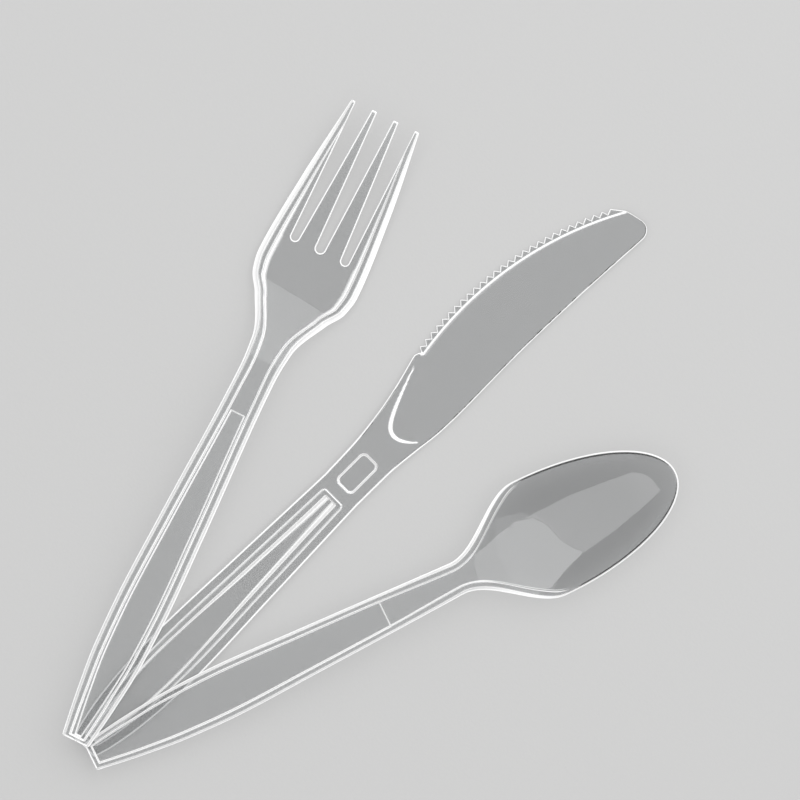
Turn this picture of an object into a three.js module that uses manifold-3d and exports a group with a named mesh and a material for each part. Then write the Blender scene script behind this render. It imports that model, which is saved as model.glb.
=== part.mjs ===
// Clear plastic cutlery pack: one fork, one knife and one spoon, fanned out from
// their overlapping handle ends as they lie in the pack. Each is one injection
// moulding in clear polystyrene.
//
// Units are millimetres. +Z is up and +Y runs along the knife from its handle end to
// its tip. The origin is on the table, under the centre of the whole pack.
//
// Each piece is drawn lying along its own +Y axis, with its handle end at y = 0.
// "Along" is the distance from the handle end and "across" is the distance to the right.

import * as THREE from 'three';
import { mergeVertices } from 'three/addons/utils/BufferGeometryUtils.js';
import Module from 'manifold-3d';

// ---- Driving dimensions ----------------------------------------------------------

// How the three pieces lie together.
const FORK_TURN = THREE.MathUtils.degToRad(18.6); // to the left of the knife
const SPOON_TURN = THREE.MathUtils.degToRad(-19); // to the right of the knife
const FORK_HANDLE_END = [-2.6, -0.1];
const SPOON_HANDLE_END = [2.9, -0.5];

// The walls that step from one level to the next lean by this much.
const STEP_RUN = 0.2;

// Fork: a four-tined fork whose edge is a raised rim round a thinner plate.
const FORK_LENGTH = 172.3;
const FORK_LOWEST = 133; // where the head rests on the table
const FORK_HALF_WIDTH = [
  [0, 3.7], [12, 5.35], [24, 6.5], [37, 6.8], [60, 6.15], [101, 4.78],
  [109, 5.4], [119, 9.8], [124, 12.8], [129, 13.7], [150, 12.2], [FORK_LENGTH, 9.35],
];
const FORK_UNDERSIDE = [
  [0, 5.5], [96, 7], [104, 6.2], [116, 2.2], [126, 0.2], [FORK_LOWEST, 0], [150, 0.9],
  [160, 2.4], [FORK_LENGTH, 5.6],
];
const FORK_RIM_WIDTH = [
  [0, 1.7], [10, 2], [20, 2.2], [95, 2.3], [106, 2.55], [118, 2.2], [130, 2.7],
  [150, 2.3], [FORK_LENGTH, 1.5],
];
const FORK_RIM_SLOPE = [[0, 0.75], [106, 0.75], [120, 1.35], [150, 1.3], [FORK_LENGTH, 0.5]];
const FORK_RIM_THICKNESS = [[0, 2.3], [130, 2.3], [FORK_LENGTH, 1.5]];
const FORK_PLATE_THICKNESS = [[0, 1.7], [130, 1.7], [FORK_LENGTH, 1.3]];
const FORK_EDGE_LIP = 0.6;
const FORK_END_RIM = 0.9;
const FORK_HEAD_DISH = [[0, 0], [100, 0], [122, 0.8], [150, 0.6], [FORK_LENGTH, 0.3]];
const FORK_WIDEST = 13.7;
const FORK_PANEL_INSET = 2.95;
const FORK_PANEL_START = 1.4;
const FORK_PANEL_END = 90.6;
const FORK_PANEL_DEPTH = 0.35;

// The three slots between the tines. A side slot lies between its two edges.
const SLOT_ROOT = 134.8;
const CENTRE_SLOT_EDGE = [[SLOT_ROOT, 1.1], [FORK_LENGTH, 2.25]];
const SIDE_SLOT_INNER_EDGE = [[SLOT_ROOT, 6], [FORK_LENGTH, 3.65]];
const SIDE_SLOT_OUTER_EDGE = [[SLOT_ROOT, 7.9], [FORK_LENGTH, 8.15]];
const SLOT_ROOT_SIDES = 8;

// Spoon: an egg-shaped bowl on a handle with the same kind of rim.
const SPOON_HALF_WIDTH = [
  [0, 3.75], [12, 5.4], [24, 6.5], [36, 6.85], [60, 5.95], [101, 4.2],
];
const NECK_HALF_WIDTH = 4.2;
const NECK_END = 101;
const FLARE_END = 123.5;
const BOWL_CENTRE = 125;
const BOWL_HALF_WIDTH = 15.5;
const BOWL_FRONT = 36.1; // from the widest place to the tip
const SPOON_LENGTH = BOWL_CENTRE + BOWL_FRONT;
const BOWL_DEEPEST = 134; // where the bowl rests on the table
const SPOON_RIM_TOP = [
  [0, 4.8], [96, 8], [104, 7.7], [114, 7], [BOWL_DEEPEST, 6.9], [SPOON_LENGTH, 7.3],
];
const SPOON_EDGE_THICKNESS = [[0, 2.3], [98, 2.3], [118, 0.9], [SPOON_LENGTH, 0.8]];
const SPOON_RIM_WIDTH = [[0, 1.5], [35, 1.75], [80, 1.6], [100, 1.95], [118, 1.8], [125, 0.75]];
const SPOON_RIM_SLOPE = [[0, 0.55], [90, 0.55], [110, 0.85], [125, 0.3]];
const SPOON_EDGE_LIP = 0.5;
const SPOON_END_RIM = 1.2;
const SPOON_PANEL_END = 81;
const SPOON_PANEL_DROP = 0.75;
const SPOON_NECK_DROP = 0.45;
const RIM_FADE_START = 112;
const RIM_FADE_END = 124;
const BOWL_START = 102;
const BOWL_DEPTH = 5.7;
const BOWL_FLOOR_THICKNESS = 1.2;
const BOWL_SIDE_POWER = 2.6; // higher is flatter in the middle and steeper at the sides
const BOWL_FRONT_POWER = 3.4;

// Knife: a flat handle with a long tapering trough, and a serrated blade.
const KNIFE_HANDLE_THICKNESS = 2;
const KNIFE_PANEL_HEIGHT = 2.3;
const BLADE_THICKNESS = 1.2;
const KNIFE_HANDLE_HALF_WIDTH = [
  [0, 3.7], [5, 5.1], [12, 6.35], [20, 7.15], [32, 7.65], [60, 6.75], [90, 5.65],
];
const CUTTING_SIDE = [[90, 5.65], [100, 6], [110, 7.05], [117, 8.35], [126.7, 10.8]];
const SPINE_SIDE = [
  [90, 5.65], [101, 5.75], [110, 6.55], [118, 7.4], [124, 7.55], [145, 7.3],
  [165, 7.85], [187, 9.05],
];
const TOOTH_COUNT = 28;
const TOOTH_DEPTH = 1.15;
const TOOTH_ARC_RADIUS = 95;
const TOOTH_ARC_TOP = [143.5, 12.45]; // along, across, at the widest place of the blade
const FIRST_TOOTH = 129.2;
const LAST_TOOTH = 186.7;
const TOOTH_TIP_THICKNESS = 0.45;
const TOOTH_ROOT_THICKNESS = 0.8;
const TOOTH_BEVEL_WIDTH = 1.65;
const TOOTH_STEP_WIDTH = 0.55;
const NOTCH_BEFORE_TEETH = [[127.6, 10.5], [128.4, 10]];
// The tip runs round from the spine to the straight end of the cutting edge.
const TIP_BENDS = [[190.2, -8.85], [190.9, -4.8]];
const TIP_MEETS_EDGE = [189, -0.9];
const KNIFE_PANEL_INSET = 2.35;
const KNIFE_PANEL_START = 1.8;
const KNIFE_PANEL_END = 87.7;
const KNIFE_PANEL_CORNER = 0.9;
const TROUGH_START = 2.8;
const TROUGH_END = 86.7;
const TROUGH_HALF_WIDTH = [
  [TROUGH_START, 1.3], [10, 2.6], [20, 3.75], [28, 4.05], [40, 3.75], [60, 2.95],
  [80, 2.15], [TROUGH_END, 2],
];
const TROUGH_WALL = [[TROUGH_START, 0.35], [30, 0.35], [40, 0.6], [60, 1.1], [TROUGH_END, 1.2]];
const TROUGH_FLOOR_DISH = 0.25;
const POCKET_START = 90.6;
const POCKET_END = 101.1;
const POCKET_HALF_WIDTH = 2.9;
const POCKET_WALL = 0.65;
const POCKET_DEPTH = 0.7;
const POCKET_CORNER = 1.2;
// The blade's flat face runs into the thicker handle with a rounded nose.
const NOSE = [108.3, 0];
const CUTTING_ARM_TIP = [124, 8.75];
const CUTTING_ARM_BENDS = [[112, 4.9], [NOSE[0], 3.4]];
const SPINE_ARM_BENDS = [[NOSE[0], -2], [110.2, -4]];
const SPINE_ARM_TIP = [111.6, -5.1];
const NOSE_WALL = 1.2;
const SLOPE_START = 104;

const CLEAR_PLASTIC = { color: 0xeef2f4, roughness: 0.08, metalness: 0 };

// ---- Helpers ---------------------------------------------------------------------

const wasm = await Module();
wasm.setup();

// A smooth line through a few stations, each [place, value]. It never overshoots.
function smoothLine(stations) {
  const rise = (i) => (stations[i + 1][1] - stations[i][1]) / (stations[i + 1][0] - stations[i][0]);
  const last = stations.length - 1;
  const slopes = stations.map((_, i) => {
    if (i === 0) return rise(0);
    if (i === last) return rise(last - 1);
    const before = rise(i - 1);
    const after = rise(i);
    return before * after > 0 ? (2 * before * after) / (before + after) : 0;
  });
  return (place) => {
    const x = THREE.MathUtils.clamp(place, stations[0][0], stations[last][0]);
    let i = 0;
    while (i < last - 1 && x > stations[i + 1][0]) i += 1;
    const span = stations[i + 1][0] - stations[i][0];
    const t = (x - stations[i][0]) / span;
    const [a, b] = [stations[i][1], stations[i + 1][1]];
    return a * (1 + 2 * t) * (1 - t) ** 2 + b * t * t * (3 - 2 * t)
      + span * (slopes[i] * t * (1 - t) ** 2 - slopes[i + 1] * t * t * (1 - t));
  };
}

// Places from start to end, no further apart than the step.
function spaced(start, end, step) {
  const count = Math.max(1, Math.ceil((end - start) / step));
  return Array.from({ length: count + 1 }, (_, i) => start + ((end - start) * i) / count);
}

function sorted(places) {
  const list = [...places].sort((a, b) => a - b);
  return list.filter((place, i) => i === 0 || place - list[i - 1] > 0.01);
}

// 0 before start, 1 after end, and a straight ramp between.
function ramp(place, start, end) {
  return THREE.MathUtils.clamp((place - start) / (end - start), 0, 1);
}

function geometryFrom(points, triangles) {
  const geometry = new THREE.BufferGeometry();
  geometry.setAttribute('position', new THREE.Float32BufferAttribute(points.flat(), 3));
  geometry.setIndex(triangles.flat());
  return geometry;
}

// A closed slab from rows of places [across, along, bottom, top]. Every row has the
// same number of places, from left to right, and the rows follow one another along +Y.
function slab(rows) {
  const columns = rows[0].length;
  const count = rows.length * columns;
  const places = rows.flat();
  const top = places.map(([across, along, , high]) => [across, along, high]);
  const bottom = places.map(([across, along, low]) => [across, along, low]);
  const triangles = [];
  const quad = (a, b, c, d) => triangles.push([a, b, c], [a, c, d]);
  for (let r = 0; r < rows.length - 1; r += 1) {
    for (let c = 0; c < columns - 1; c += 1) {
      const a = r * columns + c;
      quad(a, a + 1, a + columns + 1, a + columns);
      quad(a + count, a + columns + count, a + columns + 1 + count, a + 1 + count);
    }
    const left = r * columns;
    const right = left + columns - 1;
    quad(left, left + columns, left + columns + count, left + count);
    quad(right, right + count, right + columns + count, right + columns);
  }
  for (let c = 0; c < columns - 1; c += 1) {
    const far = count - columns + c;
    quad(c, c + count, c + 1 + count, c + 1);
    quad(far, far + 1, far + 1 + count, far + count);
  }
  return geometryFrom([...top, ...bottom], triangles);
}

// A closed block between two outlines with the same number of points, one above the
// other. Outlines are lists of [across, along], anticlockwise seen from above.
function draftedBlock(lower, upper, lowZ, highZ) {
  const count = lower.length;
  const points = [
    ...lower.map(([x, y]) => [x, y, lowZ]),
    ...upper.map(([x, y]) => [x, y, highZ]),
  ];
  const cap = (outline) => THREE.ShapeUtils.triangulateShape(
    outline.map(([x, y]) => new THREE.Vector2(x, y)),
    [],
  );
  const triangles = [
    ...cap(lower).map(([a, b, c]) => [c, b, a]),
    ...cap(upper).map(([a, b, c]) => [a + count, b + count, c + count]),
  ];
  for (let i = 0; i < count; i += 1) {
    const next = (i + 1) % count;
    triangles.push([i, next, next + count], [i, next + count, i + count]);
  }
  return geometryFrom(points, triangles);
}

function toSolid(geometry) {
  const plain = geometry.clone();
  plain.deleteAttribute('normal');
  plain.deleteAttribute('uv');
  const merged = mergeVertices(plain, 1e-5);
  return new wasm.Manifold(new wasm.Mesh({
    numProp: 3,
    vertProperties: new Float32Array(merged.attributes.position.array),
    triVerts: new Uint32Array(merged.index.array),
  }));
}

function toGeometry(solid) {
  const mesh = solid.getMesh();
  const geometry = new THREE.BufferGeometry();
  geometry.setAttribute('position', new THREE.Float32BufferAttribute(mesh.vertProperties, 3));
  geometry.setIndex([...mesh.triVerts]);
  geometry.computeVertexNormals();
  return geometry;
}

function clearPiece(name, geometry) {
  const mesh = new THREE.Mesh(geometry, new THREE.MeshStandardMaterial(CLEAR_PLASTIC));
  mesh.name = name;
  return mesh;
}

// Both halves of a row, from its right-hand places.
function mirrored(acrossRight) {
  const right = acrossRight.filter((across) => across > 0);
  return [...right.map((across) => -across), 0, ...[...right].reverse()];
}

// The distance sideways that crosses a band of this width, where the edge runs at a slope.
function sideways(edge, along, width) {
  const slope = (edge(along + 0.05) - edge(along - 0.05)) / 0.1;
  return width * Math.hypot(1, slope);
}

// ---- Fork ------------------------------------------------------------------------

function buildFork() {
  const edge = smoothLine(FORK_HALF_WIDTH);
  const underside = smoothLine(FORK_UNDERSIDE);
  const rimWidth = smoothLine(FORK_RIM_WIDTH);
  const rimSlope = smoothLine(FORK_RIM_SLOPE);
  const rimThickness = smoothLine(FORK_RIM_THICKNESS);
  const plateThickness = smoothLine(FORK_PLATE_THICKNESS);
  const dish = smoothLine(FORK_HEAD_DISH);

  // Thickness of the moulding at one place.
  const thickness = (across, along) => {
    const outward = Math.hypot(1, (edge(along + 0.05) - edge(along - 0.05)) / 0.1);
    const side = (edge(along) - Math.abs(across)) / outward;
    const slope = rimSlope(along);
    const wall = Math.min(ramp(side, 0, slope), ramp(along, 0, STEP_RUN));
    const insideRim = Math.min(
      ramp(side, rimWidth(along), rimWidth(along) + STEP_RUN),
      ramp(along, FORK_END_RIM, FORK_END_RIM + STEP_RUN),
    );
    const panelSide = edge(along) - FORK_PANEL_INSET - Math.abs(across);
    const insidePanel = Math.min(
      ramp(panelSide, 0, STEP_RUN),
      ramp(along, FORK_PANEL_START, FORK_PANEL_START + STEP_RUN),
      1 - ramp(along, FORK_PANEL_END - STEP_RUN, FORK_PANEL_END),
    );
    const rim = THREE.MathUtils.lerp(FORK_EDGE_LIP, rimThickness(along), wall);
    return THREE.MathUtils.lerp(rim, plateThickness(along), insideRim)
      - FORK_PANEL_DEPTH * insidePanel;
  };

  const row = (along) => {
    const half = edge(along);
    const rim = sideways(edge, along, rimWidth(along));
    const acrossRight = [
      half,
      half - sideways(edge, along, rimSlope(along)),
      half - rim,
      half - rim - sideways(edge, along, STEP_RUN),
    ];
    const panel = half - FORK_PANEL_INSET;
    if (along <= FORK_PANEL_END) acrossRight.push(panel, panel - STEP_RUN);
    else acrossRight.push((half - rim) * 0.66, (half - rim) * 0.33);
    return mirrored(acrossRight).map((across) => {
      const low = underside(along) + dish(along) * (across / FORK_WIDEST) ** 2;
      return [across, along, low, low + thickness(across, along)];
    });
  };

  const places = sorted([
    0, STEP_RUN, FORK_END_RIM, FORK_END_RIM + STEP_RUN, FORK_PANEL_START,
    FORK_PANEL_START + STEP_RUN, ...spaced(3, 36, 5.5), ...spaced(48, 84, 12),
    FORK_PANEL_END - STEP_RUN, FORK_PANEL_END, ...spaced(94, FORK_LOWEST, 3),
    ...spaced(FORK_LOWEST, FORK_LENGTH, 5),
  ]);
  const blank = toSolid(slab(places.map(row)));

  // A slot, from its two straight edges, with a round root and an open end.
  const slot = (leftEdge, rightEdge) => {
    const [left, right] = [leftEdge, rightEdge].map((line) => (along) => (
      THREE.MathUtils.mapLinear(along, line[0][0], line[1][0], line[0][1], line[1][1])
    ));
    const radius = (right(SLOT_ROOT) - left(SLOT_ROOT)) / 2;
    const middle = (right(SLOT_ROOT) + left(SLOT_ROOT)) / 2;
    const beyond = FORK_LENGTH + 5;
    const [below, above] = [-2, 20];
    const outline = [[right(beyond), beyond], [left(beyond), beyond]];
    for (let i = 0; i <= SLOT_ROOT_SIDES; i += 1) {
      const angle = Math.PI * (1 + i / SLOT_ROOT_SIDES);
      const along = SLOT_ROOT + radius + radius * Math.sin(angle);
      outline.push([middle + radius * Math.cos(angle), along]);
    }
    return toSolid(draftedBlock(outline, outline, below, above));
  };
  const flip = (line) => line.map(([along, across]) => [along, -across]);
  return toGeometry(blank
    .subtract(slot(flip(CENTRE_SLOT_EDGE), CENTRE_SLOT_EDGE))
    .subtract(slot(SIDE_SLOT_INNER_EDGE, SIDE_SLOT_OUTER_EDGE))
    .subtract(slot(flip(SIDE_SLOT_OUTER_EDGE), flip(SIDE_SLOT_INNER_EDGE))));
}

// ---- Spoon -----------------------------------------------------------------------

function buildSpoon() {
  const handleEdge = smoothLine(SPOON_HALF_WIDTH);
  const rimTop = smoothLine(SPOON_RIM_TOP);
  const edgeThickness = smoothLine(SPOON_EDGE_THICKNESS);
  const rimWidth = smoothLine(SPOON_RIM_WIDTH);
  const rimSlope = smoothLine(SPOON_RIM_SLOPE);

  // Straight handle, then a smooth flare, then half an ellipse.
  const edge = (along) => {
    if (along <= NECK_END) return handleEdge(along);
    const flare = THREE.MathUtils.smoothstep(along, NECK_END, FLARE_END);
    if (along <= BOWL_CENTRE) {
      return THREE.MathUtils.lerp(NECK_HALF_WIDTH, BOWL_HALF_WIDTH, flare);
    }
    const forward = Math.min(1, (along - BOWL_CENTRE) / BOWL_FRONT);
    return BOWL_HALF_WIDTH * Math.sqrt(1 - forward ** 2);
  };

  // Distance inside the outline.
  const inside = (across, along) => {
    if (along <= BOWL_CENTRE) {
      const slope = (edge(along + 0.05) - edge(along - 0.05)) / 0.1;
      return (edge(along) - Math.abs(across)) / Math.hypot(1, slope);
    }
    const forward = (along - BOWL_CENTRE) / BOWL_FRONT;
    const side = across / BOWL_HALF_WIDTH;
    const radius = Math.hypot(forward, side);
    return ((1 - radius) * radius) / Math.hypot(forward / BOWL_FRONT, side / BOWL_HALF_WIDTH);
  };

  // How far the bowl has sunk below its rim along the middle, from 0 to 1.
  const sink = (along, end) => {
    if (along <= BOWL_DEEPEST) {
      return THREE.MathUtils.smoothstep(along, BOWL_START, BOWL_DEEPEST);
    }
    return 1 - Math.min(1, (along - BOWL_DEEPEST) / (end - BOWL_DEEPEST)) ** BOWL_FRONT_POWER;
  };

  const heights = (across, along) => {
    const half = Math.max(edge(along), 0.01);
    const width = rimWidth(along);
    const distance = inside(across, along);
    const innerHalf = Math.max(half - sideways(edge, Math.min(along, BOWL_CENTRE), width), 0.01);
    const floorShare = Math.min(1, Math.abs(across) / innerHalf) ** BOWL_SIDE_POWER;
    const wall = Math.min(ramp(distance, 0, rimSlope(along)), ramp(along, 0, STEP_RUN));
    const insideRim = Math.min(
      ramp(distance, width, width + STEP_RUN),
      ramp(along, SPOON_END_RIM, SPOON_END_RIM + STEP_RUN),
    );
    const pastPanel = ramp(along, SPOON_PANEL_END, SPOON_PANEL_END + STEP_RUN);
    const drop = THREE.MathUtils.lerp(SPOON_PANEL_DROP, SPOON_NECK_DROP, pastPanel)
      * (1 - ramp(along, RIM_FADE_START, RIM_FADE_END));
    const top = rimTop(along);
    const edgeDrop = (edgeThickness(along) - SPOON_EDGE_LIP) * (1 - wall);
    const bowl = BOWL_DEPTH * sink(along, SPOON_LENGTH - width) * (1 - floorShare);
    const outerShare = Math.min(1, Math.abs(across) / half) ** BOWL_SIDE_POWER;
    const underDepth = BOWL_DEPTH + BOWL_FLOOR_THICKNESS - edgeThickness(along);
    const under = underDepth * sink(along, SPOON_LENGTH) * (1 - outerShare);
    return {
      high: top - edgeDrop - drop * insideRim - bowl * insideRim,
      low: top - edgeThickness(along) - under,
    };
  };

  const bowlShares = [1, 0.95, 0.9, 0.78, 0.55, 0.28];
  const row = (along) => {
    const half = edge(along);
    const slopeAt = Math.min(along, BOWL_CENTRE);
    const rim = sideways(edge, slopeAt, rimWidth(along));
    const step = sideways(edge, slopeAt, STEP_RUN);
    const handlePlaces = [
      half, half - sideways(edge, slopeAt, rimSlope(along)), half - rim, half - rim - step,
      (half - rim) * 0.6, (half - rim) * 0.3,
    ];
    const blend = ramp(along, RIM_FADE_START, RIM_FADE_END);
    const acrossRight = handlePlaces.map((across, i) => (
      THREE.MathUtils.lerp(across, half * bowlShares[i], blend)
    ));
    return mirrored(acrossRight).map((across) => {
      const { low, high } = heights(across, along);
      return [across, along, low, high];
    });
  };

  const tip = SPOON_LENGTH - 0.04;
  const places = sorted([
    0, STEP_RUN, SPOON_END_RIM, SPOON_END_RIM + STEP_RUN, ...spaced(4, 36, 8),
    ...spaced(48, 72, 12), SPOON_PANEL_END, SPOON_PANEL_END + STEP_RUN,
    ...spaced(88, BOWL_CENTRE, 2.5), ...spaced(BOWL_CENTRE, BOWL_DEEPEST, 3),
    ...spaced(BOWL_DEEPEST, 155, 3), 157, 158.6,
    SPOON_LENGTH - 1.1, SPOON_LENGTH - 0.75, SPOON_LENGTH - 0.35, tip,
  ]);
  return toGeometry(toSolid(slab(places.map(row))));
}

// ---- Knife -----------------------------------------------------------------------

// The teeth stand on an arc, evenly spaced. This gives a place on that arc, counted in
// teeth from the first one and moved inwards from the tips.
function toothArc(tooth, inwards) {
  const [centreAlong, top] = TOOTH_ARC_TOP;
  const [first, last] = [FIRST_TOOTH, LAST_TOOTH].map((along) => (
    Math.asin((along - centreAlong) / TOOTH_ARC_RADIUS)
  ));
  const angle = THREE.MathUtils.mapLinear(tooth, 0, TOOTH_COUNT - 1, first, last);
  const radius = TOOTH_ARC_RADIUS - inwards;
  return [centreAlong + radius * Math.sin(angle), top - TOOTH_ARC_RADIUS + radius * Math.cos(angle)];
}

// Knife outline, as [along, towards the cutting edge], from the handle end up the
// spine, round the tip and back along the teeth.
function knifeOutline() {
  const handle = smoothLine(KNIFE_HANDLE_HALF_WIDTH);
  const spine = smoothLine(SPINE_SIDE);
  const cutting = smoothLine(CUTTING_SIDE);
  const handlePlaces = [0, 3, 6, 9, ...spaced(12, 32, 4), ...spaced(44, 80, 12)];
  const spinePlaces = [...spaced(90, 118, 4), ...spaced(124, 187, 7)];
  const outline = [
    ...handlePlaces.map((along) => [along, -handle(along)]),
    ...spinePlaces.map((along) => [along, -spine(along)]),
  ];
  const spineEnd = outline[outline.length - 1];
  const tip = new THREE.CubicBezierCurve(
    ...[spineEnd, ...TIP_BENDS, TIP_MEETS_EDGE].map((point) => new THREE.Vector2(...point)),
  );
  outline.push(...tip.getPoints(8).slice(1).map((point) => [point.x, point.y]));
  for (let tooth = TOOTH_COUNT - 1; tooth >= 0; tooth -= 1) {
    outline.push(toothArc(tooth, 0));
    if (tooth > 0) outline.push(toothArc(tooth - 0.5, TOOTH_DEPTH));
  }
  outline.push(...[...NOTCH_BEFORE_TEETH].reverse());
  outline.push(...[126.7, 123, 120, 117, 113, 109, 105, 100, 95]
    .map((along) => [along, cutting(along)]));
  outline.push(...[90, ...[...handlePlaces].reverse()].map((along) => [along, handle(along)]));
  return outline;
}

// The cutting edge is on the left.
function onTable(outline) {
  return outline.map(([along, across]) => [-across, along]);
}

// A long strip down the middle of the handle, set in from its edges.
function handleStrip(start, end, halfWidth, corner) {
  const places = sorted([
    start, start + corner, ...spaced(start + 4, 32, 5), ...spaced(42, end - 5, 12), end - corner, end,
  ]);
  const half = (along) => halfWidth(along) - (along === start || along === end ? corner : 0);
  return [
    ...places.map((along) => [along, -half(along)]),
    ...[...places].reverse().map((along) => [along, half(along)]),
  ];
}

function troughCutter() {
  const top = smoothLine(TROUGH_HALF_WIDTH);
  const wall = smoothLine(TROUGH_WALL);
  const above = KNIFE_PANEL_HEIGHT + 1;
  const row = (along, atEnd) => {
    const outer = top(along);
    const inner = outer - wall(along);
    const floor = KNIFE_PANEL_HEIGHT - wall(along);
    const depthAt = (across) => {
      if (Math.abs(across) >= outer || atEnd) return KNIFE_PANEL_HEIGHT;
      return floor - TROUGH_FLOOR_DISH * (1 - (Math.min(Math.abs(across), inner) / inner) ** 2);
    };
    return mirrored([outer, inner, inner * 0.7, inner * 0.35])
      .map((across) => [across, along, depthAt(across), above]);
  };
  const places = spaced(TROUGH_START + 0.4, 28, 5).concat(spaced(36, TROUGH_END - 0.3, 8));
  return slab([
    row(TROUGH_START, true),
    ...places.map((along) => row(along, false)),
    row(TROUGH_END, true),
  ]);
}

function pocketCutter() {
  const outline = (inset) => {
    const [start, end] = [POCKET_START + inset, POCKET_END - inset];
    const half = POCKET_HALF_WIDTH - inset;
    const radius = POCKET_CORNER - inset * 0.8;
    const corners = [[end, half, 0], [start, half, 1], [start, -half, 2], [end, -half, 3]];
    return corners.flatMap(([along, across, quarter]) => [0, 1, 2, 3].map((i) => {
      const angle = (Math.PI / 2) * (quarter + i / 3);
      return [
        along - Math.sign(along - (start + end) / 2) * radius + radius * Math.cos(angle),
        across - Math.sign(across) * radius + radius * Math.sin(angle),
      ];
    }));
  };
  const top = KNIFE_HANDLE_THICKNESS;
  const overshoot = 0.5;
  const wider = outline(-POCKET_WALL * (overshoot / POCKET_DEPTH));
  const floor = top - POCKET_DEPTH;
  return draftedBlock(onTable(outline(POCKET_WALL)), onTable(wider), floor, top + overshoot);
}

// Cuts the handle's thickness down to the blade's, with the rounded nose as its wall.
function bladeCutter() {
  const line = (inset) => {
    const moved = ([along, across], alongShare, acrossShare) => (
      new THREE.Vector2(along + inset * alongShare, across + inset * acrossShare)
    );
    const cuttingArm = new THREE.CubicBezierCurve(
      moved(CUTTING_ARM_TIP, 0, 0),
      moved(CUTTING_ARM_BENDS[0], 0.3, -0.9),
      moved(CUTTING_ARM_BENDS[1], 1, 0),
      moved(NOSE, 1, 0),
    );
    const spineArm = new THREE.CubicBezierCurve(
      moved(NOSE, 1, 0),
      moved(SPINE_ARM_BENDS[0], 1, 0),
      moved(SPINE_ARM_BENDS[1], 0.3, 0),
      moved(SPINE_ARM_TIP, 0, 0),
    );
    const points = [...cuttingArm.getPoints(8), ...spineArm.getPoints(5).slice(1)];
    // The rest of the cutter stays well outside the blade.
    const around = [[114, -14], [196, -14], [196, 16], [127, 16]];
    return [...points.map((point) => [point.x, point.y]), ...around];
  };
  const overshoot = 0.6;
  const rise = KNIFE_HANDLE_THICKNESS + overshoot - BLADE_THICKNESS;
  const outer = line(NOSE_WALL - NOSE_WALL * (rise / (KNIFE_HANDLE_THICKNESS - BLADE_THICKNESS)));
  const floor = BLADE_THICKNESS;
  return draftedBlock(onTable(line(NOSE_WALL)), onTable(outer), floor, floor + rise);
}

// Slopes the end of the handle down, until it meets the blade's face at both arm tips.
function shoulderCutter() {
  const drop = KNIFE_HANDLE_THICKNESS - BLADE_THICKNESS;
  const [a1, b1] = [CUTTING_ARM_TIP[0] - SLOPE_START, CUTTING_ARM_TIP[1]];
  const [a2, b2] = [SPINE_ARM_TIP[0] - SLOPE_START, SPINE_ARM_TIP[1]];
  const perAlong = (drop * (b2 - b1)) / (a1 * b2 - a2 * b1);
  const perAcross = (drop * (a1 - a2)) / (a1 * b2 - a2 * b1);
  const level = (along, across) => Math.max(BLADE_THICKNESS, KNIFE_HANDLE_THICKNESS
    - perAlong * (along - SLOPE_START) - perAcross * across);
  // The line where the slope starts, and the line where it reaches the blade's face.
  const startAt = (across) => SLOPE_START - (perAcross * across) / perAlong;
  const endAt = (across) => startAt(across) + drop / perAlong;
  const sides = [12, -14];
  const above = 6;
  const rows = [startAt, endAt].map((lineAt) => sides.map((across) => {
    const along = lineAt(across);
    return [-across, along, level(along, across), above];
  }));
  const beyond = 60;
  rows.push(sides.map((across) => [-across, endAt(across) + beyond, BLADE_THICKNESS, above]));
  return slab(rows);
}

// Thins the blade along its teeth: a short steep step, then a flat bevel to the tips.
function toothCutter() {
  const stepEnd = TOOTH_BEVEL_WIDTH + TOOTH_STEP_WIDTH;
  const bevelSlope = (TOOTH_ROOT_THICKNESS - TOOTH_TIP_THICKNESS) / TOOTH_BEVEL_WIDTH;
  const stepSlope = (BLADE_THICKNESS - TOOTH_ROOT_THICKNESS) / TOOTH_STEP_WIDTH;
  const beyond = 0.8;
  const above = 5;
  const rows = spaced(-0.5, TOOTH_COUNT, 2).map((tooth) => [
    [-beyond, TOOTH_TIP_THICKNESS - beyond * bevelSlope],
    [TOOTH_BEVEL_WIDTH, TOOTH_ROOT_THICKNESS],
    [stepEnd, BLADE_THICKNESS],
    [stepEnd + beyond, BLADE_THICKNESS + beyond * stepSlope],
  ].map(([inwards, low]) => {
    const [along, across] = toothArc(tooth, inwards);
    return [-across, along, low, above];
  }));
  return slab(rows);
}

function buildKnife() {
  const outline = onTable(knifeOutline());
  const handle = smoothLine(KNIFE_HANDLE_HALF_WIDTH);
  const panelHalf = (inset) => (along) => handle(along) - KNIFE_PANEL_INSET - inset;
  const panelLower = handleStrip(KNIFE_PANEL_START, KNIFE_PANEL_END, panelHalf(0), KNIFE_PANEL_CORNER);
  const panelUpper = handleStrip(
    KNIFE_PANEL_START + STEP_RUN,
    KNIFE_PANEL_END - STEP_RUN,
    panelHalf(STEP_RUN),
    KNIFE_PANEL_CORNER - STEP_RUN / 2,
  );
  // The panel starts a little below the handle's face, so that the two join.
  const rise = KNIFE_PANEL_HEIGHT - KNIFE_HANDLE_THICKNESS;
  const panel = draftedBlock(
    onTable(panelLower),
    onTable(panelUpper),
    KNIFE_HANDLE_THICKNESS - rise,
    KNIFE_PANEL_HEIGHT,
  );
  return toGeometry(toSolid(draftedBlock(outline, outline, 0, KNIFE_HANDLE_THICKNESS))
    .subtract(toSolid(shoulderCutter()))
    .subtract(toSolid(bladeCutter()))
    .subtract(toSolid(toothCutter()))
    .add(toSolid(panel))
    .subtract(toSolid(troughCutter()))
    .subtract(toSolid(pocketCutter())));
}

// ---- The pack --------------------------------------------------------------------

const pack = new THREE.Group();

const knife = clearPiece('knife', buildKnife());
pack.add(knife);

const fork = clearPiece('fork', buildFork());
fork.position.set(...FORK_HANDLE_END, 0);
fork.rotation.z = FORK_TURN;
pack.add(fork);

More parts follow.
